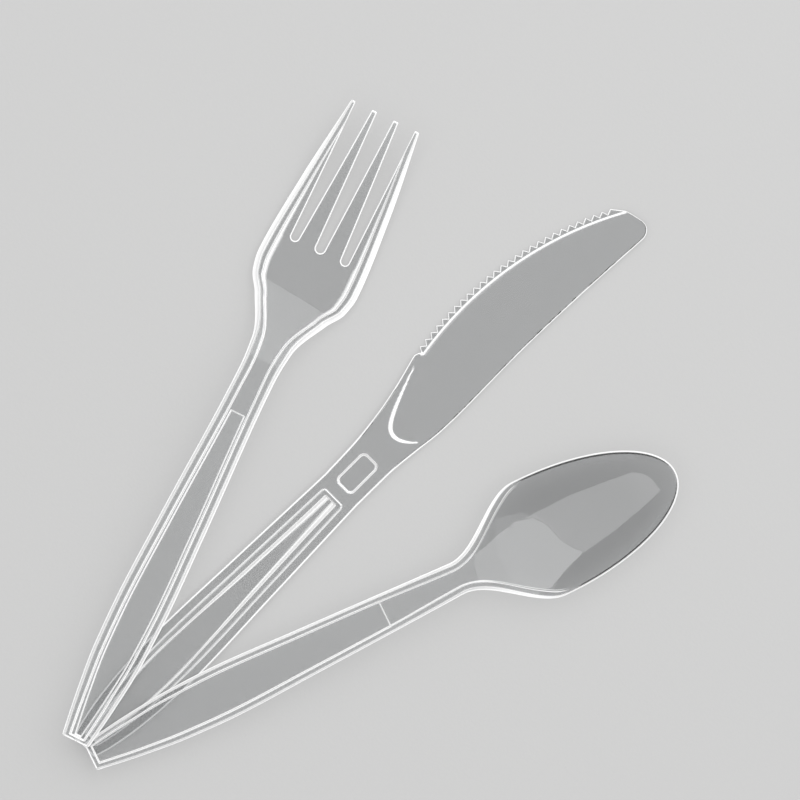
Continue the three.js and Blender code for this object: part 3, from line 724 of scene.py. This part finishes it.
# %% Knife dimensions
KNIFE_HANDLE_THICKNESS = 2
KNIFE_PANEL_HEIGHT = 2.3
BLADE_THICKNESS = 1.2
KNIFE_LENGTH = 190.25
HANDLE_END = 90
knife_handle_edge = smooth_line([
    [0, 3.7], [5, 5.1], [12, 6.35], [20, 7.15], [32, 7.65], [60, 6.75], [HANDLE_END, 5.65],
])
cutting_side = smooth_line([[HANDLE_END, 5.65], [100, 6], [110, 7.05], [117, 8.35], [126.7, 10.8]])
spine_side = smooth_line([
    [HANDLE_END, 5.65], [101, 5.75], [110, 6.55], [118, 7.4], [124, 7.55], [145, 7.3],
    [165, 7.85], [187, 9.05],
])
SHOULDER = ((126.7, 10.8), (127.6, 10.5), (128.4, 10))
TEETH = 28
TOOTH_DEPTH = 1.15
TOOTH_ARC_RADIUS = 95
TOOTH_ARC_TOP = (143.5, 12.45)
FIRST_TOOTH = 129.2
LAST_TOOTH = 186.7
TIP_START = (189, -0.9)
TIP_RUN = 1.25
TIP_FALL = 4.9
TIP_CURVE = 1.3
TIP_POINTS = 12
TIP_CORNER = 187.2
TIP_CORNER_CENTRE = 6.2
TIP_CORNER_RADIUS = 2.85
TOOTH_TIP_THICKNESS = 0.45
TOOTH_ROOT_THICKNESS = 0.8
BEVEL_WIDTH = 1.65
BEVEL_STEP = 0.55
BEVEL_RISE = (127.7, 128.7)
BEVEL_FADE = (188.7, 189.4)
BLADE_FROM = 127
KNIFE_PANEL = (1.8, 87.7)
KNIFE_PANEL_INSET = 2.35
PANEL_CORNER = 1
PANEL_WALL = 0.3
TROUGH = (2.8, 86.7)
trough_half_width = smooth_line([
    [2.8, 1.3], [10, 2.6], [20, 3.75], [28, 4.05], [40, 3.75], [60, 2.95], [80, 2.15], [86.7, 2],
])
trough_wall = smooth_line([[2.8, 0.35], [30, 0.35], [40, 0.6], [60, 1.1], [86.7, 1.2]])
TROUGH_END_WALLS = (0.6, 0.3)
TROUGH_FLOOR_DISH = 0.25
POCKET = (90.6, 101.1)
POCKET_HALF_WIDTH = 2.9
POCKET_WALL = 0.65
POCKET_DEPTH = 0.7
POCKET_CORNER = 1.6
NOSE_WALL = 1.2
NOSE_LINE = 0.35
SLOPE_START = 104
SLOPE_SOFTENING = 0.1
CUTTING_ARM_TIP = (124, 8.75)
SPINE_ARM_TIP = (111.6, -5.1)

print("knife teeth:", TEETH, "with a tooth every",
      round((LAST_TOOTH - FIRST_TOOTH) / (TEETH - 1), 2), "mm along the blade")

# %% [markdown]
# The teeth stand on one large arc, so a tooth is two numbers: how far round the arc its tip is, and
# how far inside the arc its root is. A loop places all twenty-eight. The blade's tip is short curves
# that meet in a blunt corner, since picnic knives are never pointed.

# %% Knife outline
def tooth_arc(tooth, inwards=0):
    """(along, towards the cutting edge) on the arc of the teeth, counted in teeth."""
    first, last = (math.asin((p - TOOTH_ARC_TOP[0]) / TOOTH_ARC_RADIUS)
                   for p in (FIRST_TOOTH, LAST_TOOTH))
    turn = first + (last - first) * tooth / (TEETH - 1)
    radius = TOOTH_ARC_RADIUS - inwards
    along = TOOTH_ARC_TOP[0] + radius * math.sin(turn)
    return along, TOOTH_ARC_TOP[1] - TOOTH_ARC_RADIUS + radius * math.cos(turn)


zigzag = list(SHOULDER)
for tooth in range(TEETH):
    zigzag.append(tooth_arc(tooth))
    if tooth < TEETH - 1:
        zigzag.append(tooth_arc(tooth + 0.5, TOOTH_DEPTH))
for t in np.linspace(0, 1, TIP_POINTS):
    zigzag.append((TIP_START[0] + TIP_RUN * t, TIP_START[1] - TIP_FALL * t ** TIP_CURVE))
zigzag_along, zigzag_towards = np.array(zigzag).T


def knife_front(along):
    """The cutting side up to where the teeth begin."""
    return np.where(along <= HANDLE_END, knife_handle_edge(along), cutting_side(along))


def knife_back(along):
    """The spine's side up to the blade's tip."""
    return np.where(along <= HANDLE_END, knife_handle_edge(along), spine_side(along))


def knife_cutting_edge(along):
    toothed = np.interp(along, zigzag_along, zigzag_towards)
    return np.where(along <= zigzag_along[0], knife_front(along), toothed)


def knife_spine(along, inwards=0):
    turn = np.clip((along - TIP_CORNER) / (KNIFE_LENGTH - inwards - TIP_CORNER), 0, 1)
    corner = TIP_CORNER_CENTRE + (TIP_CORNER_RADIUS - inwards) * np.sqrt(1 - turn ** 2)
    beside = knife_back(along) - inwards * steepness(knife_back, along)
    return np.where(along <= TIP_CORNER, beside, corner)


print("blade width at its widest:", round(float(knife_cutting_edge(144.6) + knife_spine(144.6)), 1))

# %% [markdown]
# The nose where the blade's face meets the handle is a curve, not a straight line across. The height
# rule measures how far each spot is from that curve and lets the wall fall at one slope. The handle's
# end slopes down at the same time, so the wall gets lower along both arms and runs out.

# %% Knife nose
def nose_line():
    """The upper edge of the nose's wall. It runs on past both arms' tips, to the outline."""
    def bezier(a, b, c, d, count):
        t = np.linspace(0, 1, count)[:, None]
        a, b, c, d = (np.array(p, float) for p in (a, b, c, d))
        return a * (1 - t) ** 3 + 3 * b * t * (1 - t) ** 2 + 3 * c * t * t * (1 - t) + d * t ** 3

    nose = (108.3, 0)
    cutting_arm = bezier(CUTTING_ARM_TIP, (112, 4.9), (108.3, 3.4), nose, 24)
    spine_arm = bezier(nose, (108.3, -2), (110.2, -4), SPINE_ARM_TIP, 14)
    return np.concatenate([[(140, 14)], cutting_arm, spine_arm[1:], [(114, -9)]])


def inside_nose(towards, along):
    """Distance from the nose line, above 0 on the blade's side."""
    line = nose_line()
    spots = np.stack([along, towards], axis=-1)[..., None, :]
    start, end = line[:-1], line[1:]
    way = end - start
    share = np.clip(((spots - start) * way).sum(-1) / (way ** 2).sum(-1), 0, 1)
    apart = spots - (start + way * share[..., None])
    nearest = np.linalg.norm(apart, axis=-1)
    pick = nearest.argmin(axis=-1)
    cross = way[:, 0] * apart[..., 1] - way[:, 1] * apart[..., 0]
    side = np.take_along_axis(cross, pick[..., None], -1)[..., 0]
    return np.sign(side) * nearest.min(axis=-1)


def handle_level(towards, along):
    """The handle's upper face, which slopes down to the blade between the two arm tips."""
    drop = KNIFE_HANDLE_THICKNESS - BLADE_THICKNESS
    a1, b1 = CUTTING_ARM_TIP[0] - SLOPE_START, CUTTING_ARM_TIP[1]
    a2, b2 = SPINE_ARM_TIP[0] - SLOPE_START, SPINE_ARM_TIP[1]
    per_along = drop * (b2 - b1) / (a1 * b2 - a2 * b1)
    per_towards = drop * (a1 - a2) / (a1 * b2 - a2 * b1)
    fall = per_along * (along - SLOPE_START) + per_towards * towards
    return KNIFE_HANDLE_THICKNESS - drop * ramp(fall, -SLOPE_SOFTENING, drop + SLOPE_SOFTENING)


def nose_wall(towards, along):
    """Height and width of the nose's wall at each spot. Both run out towards the arms' tips."""
    tall = handle_level(towards, along) - BLADE_THICKNESS
    return tall, NOSE_WALL * np.sqrt(tall / (KNIFE_HANDLE_THICKNESS - BLADE_THICKNESS))


print("height and width of the nose's wall in its middle:",
      [round(float(size), 2) for size in nose_wall(0.0, 108.3)])

# %% [markdown]
# The bevel is measured inwards from the arc of the teeth and runs out into the blade's tip. The
# panel, the trough and the pocket take the same two steps: a distance inside an outline, and a ramp.

# %% Knife height rules
def inside_tooth_arc(towards, along):
    reach = np.hypot(along - TOOTH_ARC_TOP[0], towards - TOOTH_ARC_TOP[1] + TOOTH_ARC_RADIUS)
    return TOOTH_ARC_RADIUS - reach


def in_frame(side, along, ends, corner, wall):
    """1 inside a frame with rounded corners, and 0 outside. side is the distance inside its sides."""
    end = np.minimum(along - ends[0], ends[1] - along)
    rounded = corner - np.hypot(np.maximum(corner - side, 0), np.maximum(corner - end, 0))
    inside = np.where((side < corner) & (end < corner), rounded, np.minimum(side, end))
    return ramp(inside, 0, wall)


def bevel_level(towards, along):
    """The blade's face and the bevel that thins it down to the teeth."""
    bevel = np.interp(
        inside_tooth_arc(towards, along),
        [0, BEVEL_WIDTH, BEVEL_WIDTH + BEVEL_STEP],
        [TOOTH_TIP_THICKNESS, TOOTH_ROOT_THICKNESS, BLADE_THICKNESS],
    )
    return mix(BLADE_THICKNESS, bevel, ramp(along, *BEVEL_RISE) * (1 - ramp(along, *BEVEL_FADE)))


def trough_depth(across, along):
    wall = trough_wall(along)
    half = trough_half_width(along)
    start, end = TROUGH
    end_walls = np.minimum(
        ramp(along, start, start + TROUGH_END_WALLS[0]), 1 - ramp(along, end - TROUGH_END_WALLS[1], end))
    floor_share = np.clip(np.abs(across) / np.maximum(half - wall, 0.1), 0, 1)
    depth = wall + TROUGH_FLOOR_DISH * (1 - floor_share ** 2)
    return depth * ramp(half - np.abs(across), 0, wall) * end_walls


def knife_top(across, along):
    towards = -across
    tall, wide = nose_wall(towards, along)
    past_nose = ramp(inside_nose(towards, along) / np.maximum(wide, NOSE_LINE), 0, 1)
    level = BLADE_THICKNESS + tall * (1 - past_nose)
    level = np.where(along > BLADE_FROM, np.minimum(level, bevel_level(towards, along)), level)

    side = knife_handle_edge(along) - KNIFE_PANEL_INSET - np.abs(across)
    panel = in_frame(side, along, KNIFE_PANEL, PANEL_CORNER, PANEL_WALL)
    level = level + (KNIFE_PANEL_HEIGHT - KNIFE_HANDLE_THICKNESS) * panel
    side = POCKET_HALF_WIDTH - np.abs(across)
    pocket = in_frame(side, along, POCKET, POCKET_CORNER, POCKET_WALL)
    return level - trough_depth(across, along) - POCKET_DEPTH * pocket


def knife_under(across, along):
    return 0 * across


handle_thickness, blade_thickness = knife_top(np.array([0, 0]), np.array([105, 150]))
print("knife thickness at the neck and on the blade:", handle_thickness, blade_thickness)

# %% [markdown]
# The knife's net has a different job in each part. On the handle its columns follow the panel and the
# trough. At the neck they are evenly spaced and close together, so that they can draw the curved
# nose. Along the blade, rows stand on every tooth tip and every root.

# %% Knife rows and edges
TEETH_FROM = 126.5
FLANK_SET_BACK = 1.47
TIP_SET_BACK = 1.15
TIP_ROWS = (26, 3.2)


def knife_round(along):
    """The radius of the knife's edges: larger on the handle than round the teeth."""
    return mix(0.3, 0.12, ramp(along, 100, 126))


def knife_inside_edge(along):
    """The cutting side, set back by the rounding."""
    size = knife_round(along)
    side = knife_front(along) - size * steepness(knife_front, along)
    # A tooth's flanks slope at about 45 degrees, so they are set back by more.
    teeth = knife_cutting_edge(along) - FLANK_SET_BACK * size
    tip = knife_cutting_edge(along + TIP_SET_BACK * size)
    blade = np.where(along <= LAST_TOOTH, teeth, np.minimum(teeth, tip))
    return np.where(along < TEETH_FROM, side, blade)


def knife_rows():
    end = KNIFE_LENGTH - knife_round(KNIFE_LENGTH)
    tooth_rows = zigzag_along[1:-TIP_POINTS]
    halfway = (tooth_rows[:-1] + tooth_rows[1:]) / 2
    count, reach = TIP_ROWS
    tip_rows = end - reach * (1 - np.sin(np.linspace(0, math.pi / 2, count)))
    rows = np.concatenate([
        places(
            (0.3, 1.7, 0.35), (1.8, 2.2, 0.08), (2.4, 3.6, 0.12), (4, 85.6, 1.5),
            (86, 87.9, 0.1), (88.2, 90.4, 0.5), (90.6, 102, 0.17), (102.4, 103.8, 0.3),
            (104, 125.8, 0.2), (126.1, 126.7, 0.3),
        ),
        tooth_rows, halfway, tip_rows,
    ])
    return each_once(np.round(rows, 4), closest=0.015)


rows = knife_rows()
print("the knife's net has", len(rows), "rows")

# %% [markdown]
# Both halves start from a middle line, which leans over towards the tip just as the blade does. Each
# half changes from one set of lines to the next with soft ramps.

# %% Knife net
EDGE_LINE = 0.25
NEAR_EDGE = 0.6
CELLS = (8, 8, 3, 5, 8, 1)
POCKET_ZONE = (87.8, 90.4)
EVEN_ZONE = (101.3, 103.8)
TEETH_ZONE = (125.5, 128.2)
LEANING_ZONE = (150, 182)
ROUND_THE_POCKET = (3.3, 3.6)


def on_tooth_arc(along, inwards):
    """How far towards the cutting edge a line inside the arc lies."""
    radius = TOOTH_ARC_RADIUS - inwards
    sideways = np.sqrt(np.maximum(radius ** 2 - (along - TOOTH_ARC_TOP[0]) ** 2, 0))
    return TOOTH_ARC_TOP[1] - TOOTH_ARC_RADIUS + sideways


def handle_lines(rows):
    """The lines of the trough and the panel, which change over to those of the pocket."""
    trough = trough_half_width(rows)
    panel = knife_handle_edge(rows) - KNIFE_PANEL_INSET
    in_pocket_zone = ramp(rows, *POCKET_ZONE)
    return [
        mix(trough - trough_wall(rows), POCKET_HALF_WIDTH - POCKET_WALL, in_pocket_zone),
        mix(trough, POCKET_HALF_WIDTH, in_pocket_zone),
        mix(np.maximum(panel - PANEL_WALL, trough + 0.15), ROUND_THE_POCKET[0], in_pocket_zone),
        mix(np.maximum(panel, trough + 0.45), ROUND_THE_POCKET[1], in_pocket_zone),
    ]


def half_net(rows, middle, edge, way, bevel):
    """Columns from the middle line to one edge. way is 1 towards the cutting edge and -1 from it."""
    even = np.cumsum(CELLS) / sum(CELLS)
    blade = ramp(rows, *EVEN_ZONE)
    marks = [middle]
    for line, share in zip(handle_lines(rows), even):
        marks.append(mix(way * line, mix(middle, edge, share), blade))
    marks.append(mix(edge - way * NEAR_EDGE, mix(middle, edge, even[4]), blade))
    if bevel:
        along_teeth = ramp(rows, *TEETH_ZONE) * (1 - ramp(rows, *BEVEL_FADE))
        for k, inwards in ((3, BEVEL_WIDTH + BEVEL_STEP), (4, BEVEL_WIDTH), (5, 1.5)):
            line = np.minimum(on_tooth_arc(rows, inwards), edge - EDGE_LINE - 0.05 * (6 - k))
            marks[k] = mix(marks[k], line, along_teeth)
        for k, share in ((2, 0.85), (1, 0.4)):
            marks[k] = mix(marks[k], mix(middle, marks[3], share), along_teeth)
    marks += [edge - way * EDGE_LINE, edge]
    return between(*zip(marks, CELLS + (1, 0)))


def knife_net(rows):
    cut, spine = knife_inside_edge(rows), knife_spine(rows, knife_round(rows))
    leaning = np.where(rows <= LAST_TOOTH, on_tooth_arc(rows, 0), cut)
    middle = (leaning - spine) / 2 * ramp(rows, *LEANING_ZONE)
    towards_cut = half_net(rows, middle, cut, way=1, bevel=True)
    towards_spine = half_net(rows, middle, -spine, way=-1, bevel=False)
    across = -np.concatenate([towards_cut[:, :0:-1], towards_spine], axis=1)
    return across, np.repeat(rows[:, None], across.shape[1], axis=1)


across, along = knife_net(rows)
print("the knife's net has", across.shape[1], "columns")

# %% [markdown]
# The knife's steps are frosted and painted white as highlights like the others. The nose's wall gets
# too low to count as steep before it ends, so its frosting and painted highlight follow the curve
# itself out to the tips of both arms.

# %% Mould and lay the knife
NOSE_FADE = (0.08, 0.18)
NOSE_SOFT_EDGE = 0.1


# Where the knife is frosted and painted white as a highlight: its steps, and a band along the nose.
def knife_frost_and_highlight(across, along):
    wide = nose_wall(-across, along)[1]
    half = np.maximum(wide, NOSE_LINE) / 2
    from_middle = np.abs(inside_nose(-across, along) - half)
    on_nose = 1 - ramp(from_middle, half - NOSE_SOFT_EDGE, half + NOSE_SOFT_EDGE)
    on_nose = on_nose * ramp(wide / NOSE_WALL, *NOSE_FADE)
    return np.maximum(step_share(knife_top, knife_under, across, along), on_nose)


knife = mould("clear_knife", across, along, knife_top, knife_under, knife_round,
              frost_and_highlight=knife_frost_and_highlight)
lay(knife, "knife", 0)

# %% [markdown]
# ## Short ways to set up a finish
#
# Every finish below is worked out from nodes, so it has no picture behind it and stays sharp at any
# distance. Two kinds of node come back again and again: soft random mottling, and a remap that reads
# one range of values as another. Giving them short names keeps the finishes easy to read.

# %% Mottling, remaps and bumps
def mottling(nodes, links, scale, detail, stretch=(1, 1, 1)):
    """Soft random mottling. The scale counts blotches in a metre, and a small stretch draws them out."""
    place = nodes.new("ShaderNodeTexCoord")
    drawn_out = nodes.new("ShaderNodeMapping")
    drawn_out.inputs["Scale"].default_value = stretch
    texture = nodes.new("ShaderNodeTexNoise")
    texture.inputs["Scale"].default_value = scale
    texture.inputs["Detail"].default_value = detail
    links.new(place.outputs["Object"], drawn_out.inputs["Vector"])
    links.new(drawn_out.outputs["Vector"], texture.inputs["Vector"])
    return texture.outputs["Fac"]


def remap(nodes, links, value, taken, given):
    """Reads a value in the range taken as one in the range given."""
    node = nodes.new("ShaderNodeMapRange")
    node.inputs["From Min"].default_value, node.inputs["From Max"].default_value = taken
    node.inputs["To Min"].default_value, node.inputs["To Max"].default_value = given
    links.new(value, node.inputs["Value"])
    return node.outputs["Result"]


def blend_colours(nodes, links, share, first, second):
    """The first colour where the share is 0 and the second where it is 1."""
    node = nodes.new("ShaderNodeMix")
    node.data_type = "RGBA"
    node.inputs["A"].default_value = (*first, 1)
    node.inputs["B"].default_value = (*second, 1)
    links.new(share, node.inputs["Factor"])
    return node.outputs["Result"]


def raise_surface(nodes, links, height, distance, shader):
    """Lets the light see a height that is too small to model."""
    node = nodes.new("ShaderNodeBump")
    node.inputs["Strength"].default_value = 1
    node.inputs["Distance"].default_value = distance
    links.new(height, node.inputs["Height"])
    links.new(node.outputs["Normal"], shader.inputs["Normal"])


print("finishes are made from nodes only")

# %% [markdown]
# ## Clear polystyrene
#
# Hard clear cutlery is crystal polystyrene. It bends light more than window glass does, about 1.59
# against 1.52, which is why its edges sparkle. It is almost colourless, but a plate of it still takes
# away some light, so it stands out in grey against a pale table.
#
# The faces come from a polished mould and are smooth, but never optically flat: the plastic shrinks
# as it cools and leaves a faint waviness, and the pieces rub against each other in their packet. The
# steep walls between the faces are harder to polish in the mould and stay slightly frosted, and
# light that travels inside the plastic comes out there. So the walls are given a rougher finish, and
# also a whiter, less clear one: a painted highlight that stands in for the bright lines light makes
# at the walls. The net already knows where they are, from the attribute mould_wall.

# %% Faces and walls of the clear plastic
INDEX_OF_REFRACTION = 1.59
FACE_TINT = (0.56, 0.568, 0.572)
# The walls' white base colour is a painted highlight, along with their real frosting.
WALL_FROST_AND_PAINTED_HIGHLIGHT = (0.97, 0.97, 0.97)
WALL_CLEARNESS = 0.25
WALL_ROUGHNESS = 0.3
HAZE = (0.02, 0.06)
WAVE_HEIGHT = 0.03 * MM


def faces_and_walls(nodes, links, shader):
    shader.inputs["IOR"].default_value = INDEX_OF_REFRACTION
    wall = nodes.new("ShaderNodeAttribute")
    wall.attribute_name = "mould_wall"
    on_wall = wall.outputs["Fac"]
    # The walls get the white base colour and less clearness below: a painted highlight.
    tint = blend_colours(nodes, links, on_wall, FACE_TINT, WALL_FROST_AND_PAINTED_HIGHLIGHT)
    links.new(tint, shader.inputs["Base Color"])
    clearness = remap(nodes, links, on_wall, (0, 1), (1, WALL_CLEARNESS))
    links.new(clearness, shader.inputs["Transmission Weight"])

    rub_marks = mottling(nodes, links, scale=2500, detail=4, stretch=(1, 0.06, 1))
    haze = remap(nodes, links, rub_marks, (0.35, 0.75), HAZE)
    rough = nodes.new("ShaderNodeMapRange")
    rough.inputs["To Max"].default_value = WALL_ROUGHNESS
    links.new(on_wall, rough.inputs["Value"])
    links.new(haze, rough.inputs["To Min"])
    links.new(rough.outputs["Result"], shader.inputs["Roughness"])

    waves = mottling(nodes, links, scale=90, detail=2)
    raise_surface(nodes, links, waves, WAVE_HEIGHT, shader)


print("light bends at the surface by a factor of", INDEX_OF_REFRACTION)

# %% [markdown]
# ## Letting the lamps through
#
# A path tracer finds a lamp from the floor by drawing a straight line to it, and real glass would
# bend that line away, so the floor under a clear piece would come out far too dark. The usual answer
# is to treat the piece as a thin tinted film for those lines. It is also done for light that has
# bounced off the floor, or the two would add up to a bright ring. A steep spot lets less light
# through than a level one, which leaves a soft shadow along the rims.

# %% Shadows of the clear plastic
LEVEL_SHADE = 0.9
STEEP_SHADE = 0.6
LEVEL_TO_STEEP = (0.3, 0.9)


def let_lamps_through(nodes, links, shader):
    facing = nodes.new("ShaderNodeLayerWeight")
    facing.inputs["Blend"].default_value = 0.5
    film = nodes.new("ShaderNodeBsdfTransparent")
    shade = remap(
        nodes, links, facing.outputs["Facing"], LEVEL_TO_STEEP, (LEVEL_SHADE, STEEP_SHADE))
    links.new(shade, film.inputs["Color"])

    ray = nodes.new("ShaderNodeLightPath")
    lamp_or_floor = nodes.new("ShaderNodeMath")
    lamp_or_floor.operation = "MAXIMUM"
    links.new(ray.outputs["Is Shadow Ray"], lamp_or_floor.inputs[0])
    links.new(ray.outputs["Is Diffuse Ray"], lamp_or_floor.inputs[1])

    either = nodes.new("ShaderNodeMixShader")
    links.new(lamp_or_floor.outputs["Value"], either.inputs["Fac"])
    links.new(shader.outputs["BSDF"], either.inputs[1])
    links.new(film.outputs["BSDF"], either.inputs[2])
    links.new(either.outputs["Shader"], nodes["Material Output"].inputs["Surface"])


def clear_plastic():
    material = bpy.data.materials.new("clear_polystyrene")
    material.use_nodes = True
    nodes, links = material.node_tree.nodes, material.node_tree.links
    shader = nodes["Principled BSDF"]
    faces_and_walls(nodes, links, shader)
    let_lamps_through(nodes, links, shader)
    return material


plastic = clear_plastic()
for piece in (fork, spoon, knife):
    piece.data.materials.append(plastic)
print("clear plastic on", [piece.name for piece in (fork, spoon, knife)])

# %% [markdown]
# ## Floor
#
# A clear object shows only what is behind it and what it mirrors, so the floor matters as much as the
# plastic. It is a pale, matt board. Its tone isn't quite white, because the bright edges of the
# cutlery have to be brighter than the floor to be seen at all.

# %% Pale floor
FLOOR_TONES = ((0.44, 0.44, 0.44), (0.46, 0.46, 0.458))
FLOOR_ROUGHNESS = (0.7, 0.9)
GRAIN_HEIGHT = 0.02 * MM
FLOOR_HALF = 1.5
FLOOR_GAP = 0.2 * MM


def pale_board():
    material = bpy.data.materials.new("pale_floor")
    material.use_nodes = True
    nodes, links = material.node_tree.nodes, material.node_tree.links
    shader = nodes["Principled BSDF"]
    grain = mottling(nodes, links, scale=1400, detail=3)
    links.new(blend_colours(nodes, links, grain, *FLOOR_TONES), shader.inputs["Base Color"])
    links.new(remap(nodes, links, grain, (0, 1), FLOOR_ROUGHNESS), shader.inputs["Roughness"])
    raise_surface(nodes, links, grain, GRAIN_HEIGHT, shader)
    return material


level = cad_box[0].z - FLOOR_GAP
corners = [(x * FLOOR_HALF, y * FLOOR_HALF, level) for x, y in ((-1, -1), (1, -1), (1, 1), (-1, 1))]
floor_mesh = bpy.data.meshes.new("floor")
floor_mesh.from_pydata(corners, [], [(0, 1, 2, 3)])
floor_mesh.materials.append(pale_board())
floor = bpy.data.objects.new("floor", floor_mesh)
bpy.context.scene.collection.objects.link(floor)
print("floor level in mm:", round(level / MM, 2))

# %% [markdown]
# ## Light
#
# The lamps are there to be mirrored as much as to light. A big soft lamp straight overhead gives the
# level faces a thin even sheen and stops at the steep sides of the bowl, which stay darker, so the
# hollow can be read. A second soft lamp behind the tips is mirrored by the sloping necks. The dim
# even surroundings fill the rest. Colours are shown as they are, without a film look, so that the
# frosted edges, painted white as highlights, can reach full white.

# %% Soft lamps
SURROUNDINGS = 0.5


def soft_light(name, place, size, radiance, tilt):
    """A soft rectangular lamp. Its place is in metres from the middle of the set, its tilt in degrees."""
    lamp = bpy.data.lights.new(name, "AREA")
    lamp.shape = "RECTANGLE"
    lamp.size, lamp.size_y = size
    lamp.energy = radiance * math.pi * size[0] * size[1]
    holder = bpy.data.objects.new(name, lamp)
    holder.location = centre + Vector(place)
    holder.rotation_euler = (math.radians(tilt), 0, 0)
    holder.visible_camera = False
    bpy.context.scene.collection.objects.link(holder)
    print(name, "is", round(Vector(place).length, 2), "m away and gives", round(lamp.energy, 1), "W")


soft_light("behind_the_tips", (0, 1.19, 1.19), (2.4, 1.55), 2.2, tilt=-45)
soft_light("overhead", (-0.1, -0.52, 1.6), (2.2, 2.2), 1.3, tilt=0)
surroundings = bpy.data.worlds.new("surroundings")
surroundings.use_nodes = True
surroundings.node_tree.nodes["Background"].inputs["Color"].default_value = (1, 1, 1, 1)
surroundings.node_tree.nodes["Background"].inputs["Strength"].default_value = SURROUNDINGS
bpy.context.scene.world = surroundings
bpy.context.scene.view_settings.view_transform = "Standard"
